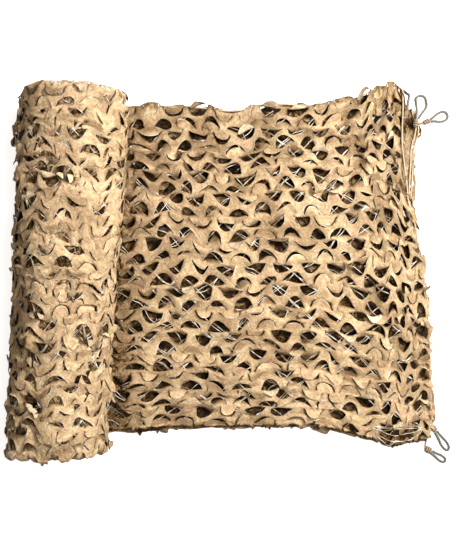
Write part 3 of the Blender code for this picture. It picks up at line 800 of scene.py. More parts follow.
class Cuts:
    """How each cut-out of one cloth was pulled about: its turn, its size, its place, and how its leaf hangs,
    in tables by row and column.  Only the upper layer's leaves, up to the whole columns' end, hang free."""

    def __init__(self, length, columns, whole_columns, rows, upper, free_end, seed):
        self.length, self.columns, self.whole_columns = length, columns, whole_columns
        self.rows, self.row_height = rows, CHART_TOTAL / rows
        self.upper, self.free_end, self.seed = upper, free_end, seed
        self.rng = np.random.default_rng(seed)
        self.shape = (rows + 4, columns + 6)
        self.middle = (np.arange(self.shape[0])[:, None] - 0.5) * self.row_height
        self.place = (np.arange(self.shape[1])[None, :] - 1.5) * CUT_PITCH
        past_whole = np.arange(self.shape[1])[None, :] > whole_columns
        self.under = (np.floor(self.middle / CHART_STEP) != upper) | past_whole

    def pull(self, high, shares, closing, stand, proud, gather):
        """Draws all the tables.  The shares are of leaves that droop, hang, lie flat, stand and are turned
        over, and closing gives the share that lie lapped, lengthways and crossways."""
        rng, shape = self.rng, self.shape
        self.proud, self.gather = proud, gather
        self.turn = rng.normal(0, CUT_TURN, shape)
        self.wide = rng.normal(*CUT_WIDE, shape)
        self.high = rng.normal(high, CUT_HIGH, shape)
        self.shift = rng.normal(0, CUT_SHIFT, (2, *shape))
        self.flare = rng.normal(*EDGE_FLARE, shape)
        self.lean = rng.normal(0, EDGE_LEAN, shape)
        closed = self.hang_leaves(shares, closing, stand)
        self.press_leaves()
        self.loosen_folds()
        self.hang_selvages()
        self.hinge = np.radians(self.hinge)
        self.curl = np.radians(self.curl) / LEAF_HEIGHT
        # A leaf that lies over the cut's edge keeps the light from it.
        self.rim = np.where(closed, rng.uniform(0.40, 1.0, shape), rng.uniform(0.0, 0.45, shape))
        self.rim *= np.where(self.under, 0, 1) * (1.0 if self.free_end else 0.85)
        self.cup = rng.normal(0, LEAF_CUP, shape)
        self.tint = rng.uniform(0, 1, shape)
        self.tone = rng.uniform(0, 1, shape)
        self.turned = (np.abs(self.hinge) > 1.75) * rng.uniform(0.55, 1.0, shape)

    def hang_leaves(self, shares, closing, stand):
        """Draws how each leaf hangs, and gives which lie lapped over the cloth beyond them, like scales:
        more of them where the net is drawn out least."""
        rng, shape = self.rng, self.shape
        kind = rng.uniform(0, 1, shape) * sum(shares)
        lapping = np.maximum(
            read(*closing[0], self.place), read(*closing[1], self.middle - self.upper * CHART_STEP)
        )
        closed = rng.uniform(0, 1, shape) < lapping
        kind = np.where(closed, sum(shares) + 0.01, kind)
        bounds = (0, *np.cumsum((*shares, 1.0)))
        # degrees of the hinge, then of the curl from there to the tip
        ranges = ((-72, -26), (-112, -76), (-12, 8), (12, stand), (108, 158), (4, 24))
        curls = ((-14, 38), (-10, 45), (-8, 22), (-20, 45), (10, 25), (-16, 20))
        self.hinge, self.curl = np.zeros(shape), np.zeros(shape)
        for low, high, hinge, curl in zip(bounds, bounds[1:], ranges, curls):
            chosen = (kind >= low) & (kind < high)
            self.hinge = np.where(chosen, rng.uniform(*hinge, shape), self.hinge)
            self.curl = np.where(chosen, rng.normal(*curl, shape), self.curl)
        self.high = self.high - np.where(closed, CLOSED_LOWER, 0)
        self.twist = np.radians(rng.normal(0, LEAF_TWIST, shape)) * np.where(closed, 0.25, 1)
        self.swing = rng.normal(0, LEAF_SWING, shape)
        return closed

    def press_leaves(self):
        """Round a fold the cloth is drawn tight, and in the pile it is pressed: there the leaves lie flat."""
        to_fold = np.abs((self.middle + CHART_FOLD / 2 + CHART_STEP / 2) % CHART_STEP - CHART_STEP / 2)
        tight = (to_fold < FOLD_TIGHT) & (self.rng.uniform(0, 1, self.shape) < 0.40)
        pressed = np.where(self.under, PILE_HANG, np.where(tight, FOLD_HANG, 1.0))
        self.hinge, self.curl = self.hinge * pressed, self.curl * pressed
        self.twist, self.swing = self.twist * pressed, self.swing * pressed

    def loosen_folds(self):
        """Some leaves stand off a fold's outer side.  Past the end of the upper layer the lower ones are
        seen, and there their leaves hang too."""
        rng, shape = self.rng, self.shape
        for layer in range(LAYERS - 1):
            at_fold = np.abs(self.middle - (layer + 1) * CHART_STEP + CHART_FOLD / 2) < FOLD_LOOSE
            loose = at_fold & (rng.uniform(0, 1, shape) < 0.55) & (self.place < 0.84 * self.length)
            outward = -1 if EDGE_BACK[layer + 1] else 1
            self.hinge = np.where(loose, outward * rng.uniform(8, 40, shape), self.hinge)
            self.curl = np.where(loose, outward * rng.normal(10, 20, shape), self.curl)
        shown = self.under & self.free_end & (self.place > self.length - 0.10)
        downward = np.where(np.floor(self.middle / CHART_STEP) % 2 == 1, -1, 1)
        self.hinge = np.where(shown, downward * rng.uniform(15, 75, shape), self.hinge)

    def hang_selvages(self):
        """A free run's outermost leaves hang closer.  A few of the upper selvage's are turned over, out past
        it, and at its corner and along the lower layers' ends the openings are drawn nearly shut."""
        rng, count = self.rng, self.shape[1]
        hinges, high = ((-35, 14), -0.35) if self.free_end else ((-50, 55), 0.05)
        for row in (1, self.rows):
            self.hinge[row] = rng.uniform(*hinges, count)
            self.curl[row] = rng.normal(5, 15, count)
            self.twist[row] *= 0.4
            self.high[row] = high
        if not self.free_end:
            return
        turned_over = rng.uniform(0, 1, count) < 0.30
        self.hinge[self.rows] = np.where(turned_over, rng.uniform(124, 152, count), self.hinge[self.rows])
        at_corner = (self.middle > CHART_TOTAL - 0.045) | (self.middle < UPPER_START - 0.02)
        at_corner = at_corner & (self.place > self.length - 0.06)
        kept = np.where(at_corner, CORNER_HANG, 1.0)
        self.hinge, self.curl, self.twist = self.hinge * kept, self.curl * kept, self.twist * kept
        self.high = np.where(at_corner, CORNER_HIGH, self.high)

    def cell(self, u, v, row_step=0, column_step=0):
        """The table place of the cell at or near a place of the flat cloth, its centre, and 1 in odd rows."""
        row = np.clip(np.floor(v / self.row_height).astype(int) + row_step, -1, self.rows)
        odd = row % 2
        shift = 0.5 - 0.5 * odd
        column = np.round(u / CUT_PITCH - shift).astype(int) + column_step
        centre = (column + shift) * CUT_PITCH, (row + 0.5) * self.row_height
        return (row + 1, np.clip(column + 2, 0, self.shape[1] - 1)), centre, odd

    def pulled(self, u, v):
        """Where the pull on every cut-out near by leaves a place of the flat cloth."""
        move_u, move_v, total = np.zeros_like(u), np.zeros_like(v), np.zeros_like(u)
        for row_step in (-1, 0, 1):
            for column_step in (-1, 0, 1):
                at, (cu, cv), _ = self.cell(u, v, row_step, column_step)
                du, dv = u - cu, v - cv
                weight = np.exp(-(du**2 + dv**2) / (2 * PULL_REACH**2))
                cos, sin = np.cos(self.turn[at]), np.sin(self.turn[at])
                su, sv = du * (1 + self.wide[at]), dv * (1 + self.high[at])
                move_u += weight * (cos * su - sin * sv - du + self.shift[0][at])
                move_v += weight * (sin * su + cos * sv - dv + self.shift[1][at])
                total += weight
        move_u, move_v = (
            move / total + sum(most * drift(u, v, size, self.seed + seed) for most, size, seed in wander)
            for move, wander in ((move_u, WANDER_U), (move_v, WANDER_V))
        )
        # The net is held at the roll and, less, along its edges.
        far_end = np.maximum(ease((self.length - u) / 0.03), 0.9 if self.free_end else 0)
        selvage = np.maximum(ease(np.minimum(v, CHART_TOTAL - v) / 0.03), 0.8)
        held = ease(u / 0.03) * far_end * selvage
        return self.gather(u + move_u * held, v + move_v * held)


def flat_net(name, cuts, end_depth):
    """The net as it is cut, lying flat and trimmed to its length, with its flat places kept as its UV map."""
    flat = by_nodes(
        name, cut_cell(cuts.row_height), NET_TREE,
        Columns=cuts.columns, Rows=cuts.rows, Whole_columns=cuts.whole_columns, Pitch=CUT_PITCH,
        Row_height=cuts.row_height, Layer_step=CHART_STEP, End_depth=end_depth, Material=CLOTH_SAND,
    )
    mesh = flat.data
    work = bmesh.new()
    work.from_mesh(mesh)
    for at, way in ((0.0, -1), (cuts.length, 1)):
        whole = work.verts[:] + work.edges[:] + work.faces[:]
        bmesh.ops.bisect_plane(
            work, geom=whole, plane_co=(at, 0, 0), plane_no=(way, 0, 0), clear_outer=True, dist=1e-5
        )
    bmesh.ops.triangulate(work, faces=work.faces[:])
    work.to_mesh(mesh)
    work.free()
    corner = np.zeros(len(mesh.loops), int)
    mesh.loops.foreach_get("vertex_index", corner)
    mesh.uv_layers.new(name="chart").data.foreach_set("uv", places_of(mesh)[corner, :2].ravel())
    return flat


def leaf_arc(cuts, at, drop, aside):
    """How far ahead of its root and up from it each place of a leaf lies.  The leaf keeps its cut length
    however the net is drawn: it turns at its hinge and then curls to its tip."""
    reach = np.maximum(drop, 1e-9)
    start = np.clip(cuts.hinge[at] + cuts.twist[at] * aside, -2.3, 2.8) * ease(reach / 0.004)
    curl = np.where(np.abs(cuts.curl[at]) < 2, 2.0, cuts.curl[at])
    ahead = (np.sin(start + curl * reach) - np.sin(start)) / curl
    up = (np.cos(start) - np.cos(start + curl * reach)) / curl
    up = up + cuts.cup[at] * aside**2 * drop / LEAF_HEIGHT
    return ahead, np.where(up > 0, cuts.proud * np.tanh(up / cuts.proud), up)


def lobes(u, half, seed):
    """The rounded lobes, one to each cut-out, that a selvage's edge stands out in, from 0 in a notch to 1."""
    column = np.round(u / CUT_PITCH - half)
    size = np.random.default_rng(seed).uniform(0.15, 1.0, 64)[column.astype(int) % 64]
    return size * np.sqrt(np.clip(1 - (2 * (u / CUT_PITCH - half - column)) ** 2, 0, 1))


# A band of the cloth along its edges passes over the rim cord, so far out, and comes out past it: so far, and
# so much further in lobes, or unevenly at the free end.  Towards the back the free end hangs past its cord.
CORD_BAND, OVER_CORD, END_DOWN = 0.018, 0.0050, 0.0110
UPPER_OUT, LOWER_OUT, END_OUT, END_LEAST = (0.0085, 0.0095), (0.0030, 0.0070), (0.0065, 0.0100), 0.0020
PAST_EDGE = 0.018


def towards_back(across):
    return ease((across - CHART_TOTAL + 0.30) / 0.04)


def past_cord(cuts, u, ru, rv, seed):
    """How far the cloth is moved along, across and out where it passes over the cord that it is sewn to."""
    to_end = 1 - ease((cuts.length - ru) / CORD_BAND) if cuts.free_end else 0 * ru
    to_low = 1 - ease(rv / CORD_BAND) if cuts.free_end else 0 * rv
    to_selvage = 1 - ease((CHART_TOTAL - rv) / CORD_BAND)
    corner = ease((rv - CHART_TOTAL + 0.13) / 0.05)
    uneven = drift(rv, 0 * rv, 0.017, seed + 7) + corner
    along = to_end * np.maximum(END_LEAST, END_OUT[0] + END_OUT[1] * uneven)
    fading = ease((cuts.length - ru) / 0.06)
    across = to_selvage * (UPPER_OUT[0] + UPPER_OUT[1] * fading * lobes(u, 0, seed + 8))
    across = across - to_low * (LOWER_OUT[0] + LOWER_OUT[1] * lobes(u, 0.5, seed + 10))
    at_end = OVER_CORD - (END_DOWN * towards_back(rv) if cuts.free_end else 0)
    out = np.where(to_end > to_selvage, at_end * to_end, OVER_CORD * to_selvage) - OVER_CORD * to_low
    return along, across, out


# How far a hanging leaf draws its root back and down, for each radian that it hangs.
HINGE_BACK, HINGE_DOWN = 0.0026, 0.0030
# A leaf turned less than SHUT_HINGE may be left shut: how high it lies, and its reach as a share of its cut.
SHUT_HINGE, SHUT_LIFT, SHUT_REACH = 0.42, 0.0016, 1.18
# How much a cut's edge waves, how far a lapped leaf presses it down, and how low the cloth may lie.
EDGE_WAVE, EDGE_DOWN, LOWEST = 0.0030, 0.0020, 0.0006


def dress(name, cuts, place, height, shade_of, seed, side=1, end_depth=0.07):
    """A net cut out, pulled about, its leaves hung, and laid where place() says.  On side -1 the cut
    pattern's outer face is the sheet's lower one."""
    flat = flat_net(name, cuts, end_depth)
    mesh, length = flat.data, cuts.length
    u, v, _ = places_of(mesh).T
    drop, aside, leaf, edge, root = (values_of(mesh, n) for n in ("drop", "aside", "leaf", "edge", "root"))
    at, (middle_u, _), odd = cuts.cell(u, v)
    way = np.where(odd == 1, -1, 1)
    is_leaf = leaf > 0.5
    root_v = np.where(is_leaf, v - way * drop, v)
    ru, rv = cuts.pulled(u, root_v)
    tu, tv = cuts.pulled(u, v)
    along_u, along_v = tu - ru, tv - rv
    apart = np.maximum(np.hypot(along_u, along_v), 1e-9)
    ahead, up = leaf_arc(cuts, at, drop, aside)
    # The cloth beside a cut stands up or down a little at its edge.
    border = ease(np.minimum(ru, length - ru) / 0.02) * ease(np.minimum(rv, CHART_TOTAL - rv) / 0.02)
    flare = cuts.flare[at] + cuts.lean[at] * (u - middle_u) / CUT_HALF - EDGE_DOWN * cuts.rim[at]
    flare = (flare + EDGE_WAVE * drift(u, v, 0.012, seed + 9)) * edge * border
    # Some of the outermost leaves aren't drawn open: each fills its own cut and laps over its edge.
    outermost = np.minimum(root_v, CHART_TOTAL - root_v) < cuts.row_height
    unopened = (np.abs(cuts.hinge[at]) < SHUT_HINGE) | (root_v < CHART_STEP)
    shut = is_leaf & cuts.free_end & outermost & unopened
    up = np.where(shut, SHUT_LIFT * ease(drop / 0.006) * (1 + 0.8 * cuts.lean[at] / EDGE_LEAN), up)
    out = height(ru, rv) + np.where(is_leaf, up, flare)
    swung = cuts.swing[at] * ahead
    nu = np.where(is_leaf, ru + (along_u * ahead - along_v * swung) / apart, tu)
    nv = np.where(is_leaf, rv + (along_v * ahead + along_u * swung) / apart, tv)
    nu, nv = np.where(shut, ru + SHUT_REACH * along_u, nu), np.where(shut, rv + SHUT_REACH * along_v, nv)
    rv = np.where(shut, tv, rv)
    # A hanging leaf draws its root down and back, which rounds the opening.
    drawn_back = root * np.clip(-cuts.hinge[at], 0, 1.2)
    on_u, on_v, on_out = past_cord(cuts, u, ru, rv, seed)
    out = out - HINGE_DOWN * drawn_back + on_out
    nu = np.clip(nu + on_u, 0, length + (PAST_EDGE if cuts.free_end else 0))
    nv = np.clip(nv - way * HINGE_BACK * drawn_back + on_v, -PAST_EDGE, CHART_TOTAL + PAST_EDGE)
    laid = on_sheet(place, nu, nv, out * side)
    laid[:, 2] = np.maximum(laid[:, 2], LOWEST)
    mesh.vertices.foreach_set("co", laid.ravel())
    if side < 0:
        mesh.flip_normals()
    # How deep each place lies in shade: a hanging leaf more to its tip, and a lapped edge under its leaf.
    patch = 0.5 + 0.5 * drift(u, v, 0.030, seed + 3)
    own = np.where(is_leaf, np.minimum(0.22 + 1.10 * cuts.tone[at], 1.08), 0.72 + 0.38 * patch)
    deep = shade_of(nu, np.clip(nv, 0, CHART_TOTAL)) * own
    # At the free end, towards the back, a painted shadow darkens the cloth just inside its cord.
    if cuts.free_end:
        deep = deep + 0.50 * towards_back(rv) * np.exp(-(((length - ru - 0.003) / 0.006) ** 2))
    hanging = 0.68 * np.clip((-out - 0.003) / 0.015, 0, 1)
    shade = np.clip(deep + np.where(is_leaf, hanging, 0.35 * edge * cuts.rim[at]), 0, 1)
    tone = 0.30 * drift(u, v, 0.060, seed + 4) + 0.25 * drift(u, v, 0.022, seed + 5)
    tone = tone + (0.49 if cuts.free_end else 0.60)
    for title, values in (
        ("shade", shade),
        ("tint", np.where(is_leaf, cuts.tint[at], 0.5 + 0.5 * drift(u, v, 0.05, seed + 2))),
        ("tone", np.where(is_leaf, cuts.tone[at], tone)),
        ("turned", np.where(is_leaf, cuts.turned[at], 0.0)),
        ("lapped", np.where(is_leaf, 0.0, cuts.rim[at])),
    ):
        mesh.attributes.new(title, "FLOAT", "POINT").data.foreach_set("value", values.astype(np.float32))
    mesh.update()
    return flat


# ---------------------------------------------------------------- the open run
# The part of the net that is drawn off the roll, folded in four and lying on the ground.  It is drawn out
# over its middle and gathered at its free end, where its folds part a little and the front one gapes; the
# gape is drawn as painted shade, a dark oval with twines bowed over it.
RIPPLE, RIPPLE_STRETCH = 0.050, 2.2
END_RIPPLE_RISE, SIDE_RIPPLE_RISE = 0.0050, 0.0040
GAPE_AT = (0.908 * CHART_LENGTH, UPPER_START + 0.022)
GAPE_REACH = (0.060 * CHART_LENGTH, 0.022)
# Where the upper layer is crushed at its back corner and is given streaks of painted shade, and where the
# layers part beside it and the lower ones are given painted shade, as in the frame.
CRUSHED_SHADE_AT, CRUSHED_SHADE_REACH = (0.490, 0.480), (0.060, 0.060)
PARTED_SHADE_Y, PARTED_SHADE_REACH = 0.430, 0.032
# How far the net is drawn out, from the roll to its free end and from its front edge to its back one.
DRAWN_LENGTHWAYS = ((0.00, 0.60, 0.72, 0.82, 1.00), (1.13, 1.15, 1.10, 0.66, 0.50))
DRAWN_ACROSS = ((0.00, 0.10, 0.24, 0.40, 0.72, 0.86, 1.00), (0.84, 0.84, 0.92, 1.10, 1.10, 0.98, 0.96))
# The share of leaves that lie lapped, from the roll to the free end and from the front edge to the back one.
RUN_CLOSING = (
    ((0.00, 0.66, 0.80, 0.97), (0.10, 0.12, 0.32, 0.30)),
    ((0.00, 0.07, 0.24, 0.40, 1.00), (0.60, 0.58, 0.36, 0.08, 0.06)),
)
RUN_RISE, FOLD_BULGE, RUN_SEED = 0.0045, 0.0060, 21


def run_ripples(u, v):
    """Along its free end and its long edges, where it is drawn out least, the net stands in short ripples."""
    share = (v - UPPER_START) / CHART_WIDTH
    at_end = ease((u / CHART_LENGTH - 0.76) / 0.12) * ease((CHART_LENGTH - u) / 0.02)
    at_front = ease((0.26 - share) / 0.12) * ease(share / 0.02)
    at_back = ease((share - 0.80) / 0.10) * ease((1 - share) / 0.02)
    crossways = END_RIPPLE_RISE * at_end * drift(u * RIPPLE_STRETCH, v, RIPPLE, 91)
    lengthways = SIDE_RIPPLE_RISE * np.maximum(at_front, at_back) * drift(u, v * RIPPLE_STRETCH, RIPPLE, 92)
    return np.where(share > 0, crossways + lengthways, 0)


def spot(x, y, middle, reach):
    """1 over an oval spot, falling off steeply at its edge."""
    return np.exp(-((((x - middle[0]) / reach[0]) ** 2 + ((y - middle[1]) / reach[1]) ** 2) ** 2))


def run_shade(along, across):
    """Painted shade.  The lower layers lie in the dark of the pile where the upper one covers them, lighter
    in a few patches where light falls through, and near and past the upper layer's end they are dark, most
    where the layers part.  The upper one is darker near the roll, in the hollows of its ripples, over the
    gaping fold and in streaks at its back corner, and each fold is dark where it turns in under itself."""
    layer, to_back, turn, _ = fold_of(across)
    x, y, _ = run_place(along, across).T
    slit = np.where(turn > 0, 0.40 * (1 - ease(turn / 1.5)), 0)
    top_end = read(END_SHARE, END_X, to_back) - read(END_SHARE, TOP_SHORT, to_back)
    to_edge = np.minimum(y - read(PLAN_X, PLAN_FRONT, x), read(PLAN_X, PLAN_BACK, x) - y)
    covered = ease((to_edge - 0.004) / 0.010) * ease((top_end - x + 0.004) / 0.012)
    patch = 0.5 + 0.5 * drift(along, across, 0.030, 61)
    lit = ease((drift(along, across, 0.011, 63) - 0.15) / 0.35)
    under = np.where(layer == LAYERS - 2, 0.90 + 0.22 * patch - 0.30 * lit, 1.0)
    # Near and past the upper layer's end the lower layers get painted shade, most where they part.
    parted_shade = np.exp(-(((y - PARTED_SHADE_Y) / PARTED_SHADE_REACH) ** 2))
    beside = (0.30 + 0.50 * parted_shade) * ease((x - top_end + 0.03) / 0.02)
    # Painted shade in the hollows of the ripples.
    hollow = (0.10 + 0.22 * (to_back > 0.7)) * ease((-run_ripples(along, across) - 0.0004) / 0.0026)
    # Painted shade over the gaping fold.
    gape_shade = 0.95 * spot(along, across, GAPE_AT, GAPE_REACH)
    # Streaks of painted shade over the crushed back corner.
    streaks = ease((drift(1.6 * along, 0.6 * across, 0.010, 64) - 0.10) / 0.30)
    crushed_shade = 0.62 * spot(x, y, CRUSHED_SHADE_AT, CRUSHED_SHADE_REACH) * streaks
    # Painted shade of the roll on the run beside it.
    roll_shadow = 0.52 * ease((0.17 - along) / 0.13)
    lower = np.maximum.reduce([covered * under, slit, beside])
    upper = np.maximum.reduce([roll_shadow, slit, hollow, gape_shade, crushed_shade])
    return np.where(layer < LAYERS - 1, lower, upper)


def drawn_out(share, table):
    """Where a share of the flat net lies once each stretch of it is drawn out by the table's factor."""
    steps = np.linspace(0, 1, 201)
    gone = np.concatenate([[0], np.cumsum(read(*table, (steps[1:] + steps[:-1]) / 2))])
    return np.where((share > 0) & (share < 1), np.interp(share, steps, gone / gone[-1]), share)


def run_gather(u, v):
    across = drawn_out((v - UPPER_START) / CHART_WIDTH, DRAWN_ACROSS)
    return CHART_LENGTH * drawn_out(u / CHART_LENGTH, DRAWN_LENGTHWAYS), UPPER_START + CHART_WIDTH * across


def run_height(u, v):
    """How far the cloth stands off its layer.  The fold at the back bulges out under the upper selvage."""
    layer, _, turn, _ = fold_of(v)
    bulge = np.where(layer == 1, FOLD_BULGE * np.sin(turn), 0) * ease((CHART_LENGTH - u) / 0.06)
    return waves(u, v, RUN_RISE, RUN_SEED) * ease((CHART_LENGTH - u) / 0.02) + run_ripples(u, v) - bulge


run_cuts = Cuts(
    length=CHART_LENGTH, columns=15, whole_columns=99, rows=122, upper=LAYERS - 1, free_end=True, seed=11
)
run_cuts.pull(
    high=0.15, shares=(0.52, 0.20, 0.02, 0.16, 0.10), closing=RUN_CLOSING, stand=58, proud=0.022,
    gather=run_gather,
)
run_cloth = dress("run_cloth", run_cuts, run_place, run_height, run_shade, RUN_SEED)
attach(run_cloth, "root")
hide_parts("net_run")


# ---------------------------------------------------------------- the roll
# The rest of the folded net, wound up from its far end.  The outer turn is whole; of the turns inside it only
# the folded edges show, at the roll's two ends.
ROLL_R, TURN_PITCH = 0.157, 0.034
ROLL_WIDEN, ROLL_FLATTEN, AXIS_Z = 1.03, 0.95, 0.145
ROLL_MIDDLE_Y, ROLL_HALF_LENGTH = -0.0135, 0.5075
ROLL_END_ROUND = 0.018
ROLL_FIRST, ROLL_WHOLE, ROLL_LAST = -27.0, 395.0, 1560.0      # degrees round from the bottom
ROLL_LAYER = TURN_PITCH / LAYERS
ROLL_RISE, ROLL_END_DEPTH, ROLL_SEED = 0.0032, 0.033, 31
ROLL_INSET, ROLL_LOWEST = 0.0012, 0.0008
# At its two ends the folds stand out unevenly, turn by turn, and the edge is rounded.
END_INSET, END_UNEVEN, END_RAGGED, END_THINNER = 0.004, 0.008, 0.009, 0.12
# The outer turn bulges softly, and less from BULGES_TO degrees on.  It is fuller on the side towards the run,
# most of all at the back.
ROLL_BULGES, BULGES_TO = ((0.010, 11), (0.004, 27)), 200
ROLL_FULLER, FULLER_FROM, FULLER_TO = 0.018, 200, 335
# From the roll's top down towards the run, far more of its leaves lie lapped.
ROLL_CLOSING = (((0.00, 0.45, 0.58, 0.72), (0.40, 0.40, 0.44, 0.85)), ((0.00, 1.00), (0.0, 0.0)))

wound_degrees = np.arange(ROLL_FIRST, ROLL_LAST + 1, 2.0)
wound_r = ROLL_R - TURN_PITCH * wound_degrees / 360
wound_x = -ROLL_WIDEN * wound_r * np.sin(np.radians(wound_degrees))
wound_z = AXIS_Z - ROLL_FLATTEN * wound_r * np.cos(np.radians(wound_degrees))
wound_length = np.concatenate([[0], np.cumsum(np.hypot(np.diff(wound_x), np.diff(wound_z)))])
ROLL_COLUMNS = int(wound_length[-1] / CUT_PITCH)
ROLL_LENGTH = ROLL_COLUMNS * CUT_PITCH
ROLL_WHOLE_COLUMNS = int(np.interp(ROLL_WHOLE, wound_degrees, wound_length) / CUT_PITCH) + 1


def roll_place(along, across):
    """Where points of the flat net lie in the roll.  Its first layer is the outermost."""
    layer, to_back, turn, _ = fold_of(across)
    back_stop = EDGE_BACK[layer + 1]
    degrees = np.interp(along, wound_length, wound_degrees)
    degrees = degrees + np.where(along < 0, np.degrees(along / ROLL_R), 0)
    inset = ROLL_INSET + ROLL_LAYER * (layer + 0.5 * (1 - np.cos(turn)))
    low, high = (
        way * (ROLL_HALF_LENGTH - END_INSET) + END_UNEVEN * drift(degrees / 90, 0 * degrees, 1.0, 71 + k)
        + END_RAGGED * drift(degrees / 13, layer * 3.0, 1.0, 73 + k) + ROLL_MIDDLE_Y
        for k, way in enumerate((-1, 1))
    )
    half_fold = ROLL_LAYER / 2
    y = low + half_fold + to_back * (high - low - 2 * half_fold)
    y = y + half_fold * np.sin(turn) * np.where(back_stop, 1, -1)
    near_end = np.clip(1 - np.minimum(y - low, high - y) / ROLL_END_ROUND, 0, 1)
    share = 1 - END_THINNER * (1 - np.sqrt(1 - near_end**2))
    r = (ROLL_R - TURN_PITCH * degrees / 360 - inset) * share
    angle = np.radians(degrees)
    x, z = -ROLL_WIDEN * r * np.sin(angle), AXIS_Z - ROLL_FLATTEN * r * np.cos(angle)
    outward = np.stack([x, 0 * x, z - AXIS_Z], axis=1)
    outward /= np.linalg.norm(outward, axis=1)[:, None]
    places = np.stack([ROLL_X + x, y, z], axis=1)
    bulge = sum(
        most * np.array([noise.noise(Vector(p * fine)) for p in places]) for most, fine in ROLL_BULGES
    )
    outer = np.exp(-np.maximum(degrees - BULGES_TO, 0) / 200) * ease((degrees + 5) / 30)
    fuller = ROLL_FULLER * ease((degrees - FULLER_FROM) / 50) * ease((FULLER_TO - degrees) / 40)
    fuller = fuller * ease((y + 0.30) / 0.60)
    places = places + outward * (bulge * outer + fuller)[:, None]
    places[:, 0] += places[:, 1] * ROLL_SKEW
    places[:, 2] = np.maximum(places[:, 2], ROLL_LOWEST)
    return places


def roll_shade(along, across):
    """Only the outer turn's outer layer, and the folded edges at the ends, lie in the light."""
    layer, _, _, rest = fold_of(across)
    inside = ease(np.minimum(rest, CHART_WIDTH - rest) / 0.05)
    past_turn = along - np.interp(360, wound_degrees, wound_length)
    below = np.where(layer == 1, 0.76 + 0.42 * drift(along, across, 0.020, 62), 1.0)
    inner = np.where(layer > 0, below, ease(past_turn / 0.05))
    return np.clip(inner * inside + 0.25 * ease(past_turn / 0.3), 0, 1)


def roll_height(u, v):
    return waves(u, v, ROLL_RISE, ROLL_SEED)


roll_cuts = Cuts(
    length=ROLL_LENGTH, columns=ROLL_COLUMNS + 1, whole_columns=ROLL_WHOLE_COLUMNS, rows=132, upper=0,
    free_end=False, seed=12,
)
roll_cuts.pull(
    high=-0.15, shares=(0.46, 0.14, 0.03, 0.20, 0.17), closing=ROLL_CLOSING, stand=40, proud=0.011,
    gather=lambda u, v: (u, v),
)
roll_cloth = dress(
    "roll_cloth", roll_cuts, roll_place, roll_height, roll_shade, ROLL_SEED, side=-1, end_depth=ROLL_END_DEPTH
)
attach(roll_cloth, "root")
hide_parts("net_roll")


# ---------------------------------------------------------------- the backing mesh
# A mesh of pale twine, 2 mm thick, that carries the cut cloth from behind.  Its twines slant both ways, some
# of them in pairs, and cross the openings a little below the cloth.
TWINE_D, TWINE_STEP, TWINE_SLOPE = 0.0020, 0.009, 0.82
TWINE_LOWEST = TWINE_D / 2 + 0.0003
PAIR_APART, PAIR_SHARE = 0.0045, 0.60
TWINE_ROUND = 345                     # degrees round from the bottom; past there the roll lies on itself
# Where the gathered twines cross the gaping fold, as shares of its reach.
GATHERED = (-0.95, -0.6, 0.2, 0.8, 1.05, 1.2)
TWINE_SHADED, TWINE_PALE, TWINE_WHITE = (0.30, 0.21, 0.12), (0.80, 0.72, 0.58), (0.98, 0.95, 0.88)


def twine_material():
    made, tree, shader = new_material("twine_pale")
    place = node(tree, "ShaderNodeTexCoord").outputs["Object"]
    fleck, fibre = fibre_on(tree, place, 0.0008)
    bright = between(tree, fleck, TWINE_PALE, TWINE_WHITE)
    # Stretches of the twine are darkened at random with painted shade.
    shaded_stretch = clouds(tree, place, 42.0, 0.42, 0.60, Detail=2.0)
    link(tree, between(tree, shaded_stretch, TWINE_SHADED, bright), shader.inputs["Base Color"])
    bumped(tree, shader, fibre, 0.5, 0.0004)
    shader.inputs["Roughness"].default_value = 0.6
    return made


TWINE = twine_material()


def on_ground(line):
    line[:, 2] = np.maximum(line[:, 2], TWINE_LOWEST)
    return line


def twine_lines(length, first, last, place, height, seed, apart, depth, side=1):
    """The mesh's two families of slanting twines, bunched in places, from across first to last."""
    lines = []
    rng = np.random.default_rng(seed)
    slant = (last - first) / TWINE_SLOPE
    for way in (1, -1):
        at, stop = (-slant, length) if way > 0 else (0, length + slant)
        while at < stop:
            for beside in (0.0, PAIR_APART)[: 1 + (rng.uniform() < PAIR_SHARE)]:
                u = np.arange(0, length, TWINE_STEP)
                v = first + beside + way * (u - at) * TWINE_SLOPE
                own = drift(u + at, v + beside * 20, 0.03, seed + 6 + way)
                v = v + 0.013 * drift(u, v, 0.070, seed + 5) + 0.008 * own
                u = u + 0.010 * drift(u, v, 0.060, seed + 9)
                keep = (v > first + 0.004) & (v < last - 0.014) & (u > 0) & (u < length - 0.014)
                if keep.sum() > 3:
                    u, v = u[keep], v[keep]
                    out = height(u, v) - depth * (1 + 0.6 * drift(u, v, 0.035, seed + 12))
                    lines.append(on_ground(on_sheet(place, u, v, out * side)))
            at += apart / TWINE_SLOPE * rng.uniform(0.5, 1.5)
    return lines


def gathered_lines(offs, seed):
    """Twines that run together at both ends of the gaping fold and bow apart over it."""
    rng = np.random.default_rng(seed)
    lines = []
    for off in offs:
        share = np.linspace(-1.15, 1.15, 25) + rng.normal(0, 0.08)
        bow = np.sqrt(np.clip(1.05 - (share / 1.2) ** 2, 0, 1))
        u = GAPE_AT[0] + GAPE_REACH[0] * share
        v = GAPE_AT[1] + GAPE_REACH[1] * (off * bow + 0.30 * drift(share, off + 0 * share, 0.35, seed + 3))
        out = run_height(u, v) + 0.0030 + 0.0022 * drift(share, off + 0 * share, 0.30, seed + 5)
        keep = u < CHART_LENGTH - 0.006
        lines.append(on_ground(on_sheet(run_place, u[keep], v[keep], out[keep])))
    return lines


def lay_twine(name, lines):
    twine = by_nodes(
        name, polylines(name, lines), CORD_TREE,
        Radius=TWINE_D / 2, Strands=1, Relief=0.0, Lay=0.01, Step=TWINE_STEP, Sides=4, Material=TWINE,
    )
    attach(twine, "root")
    return twine


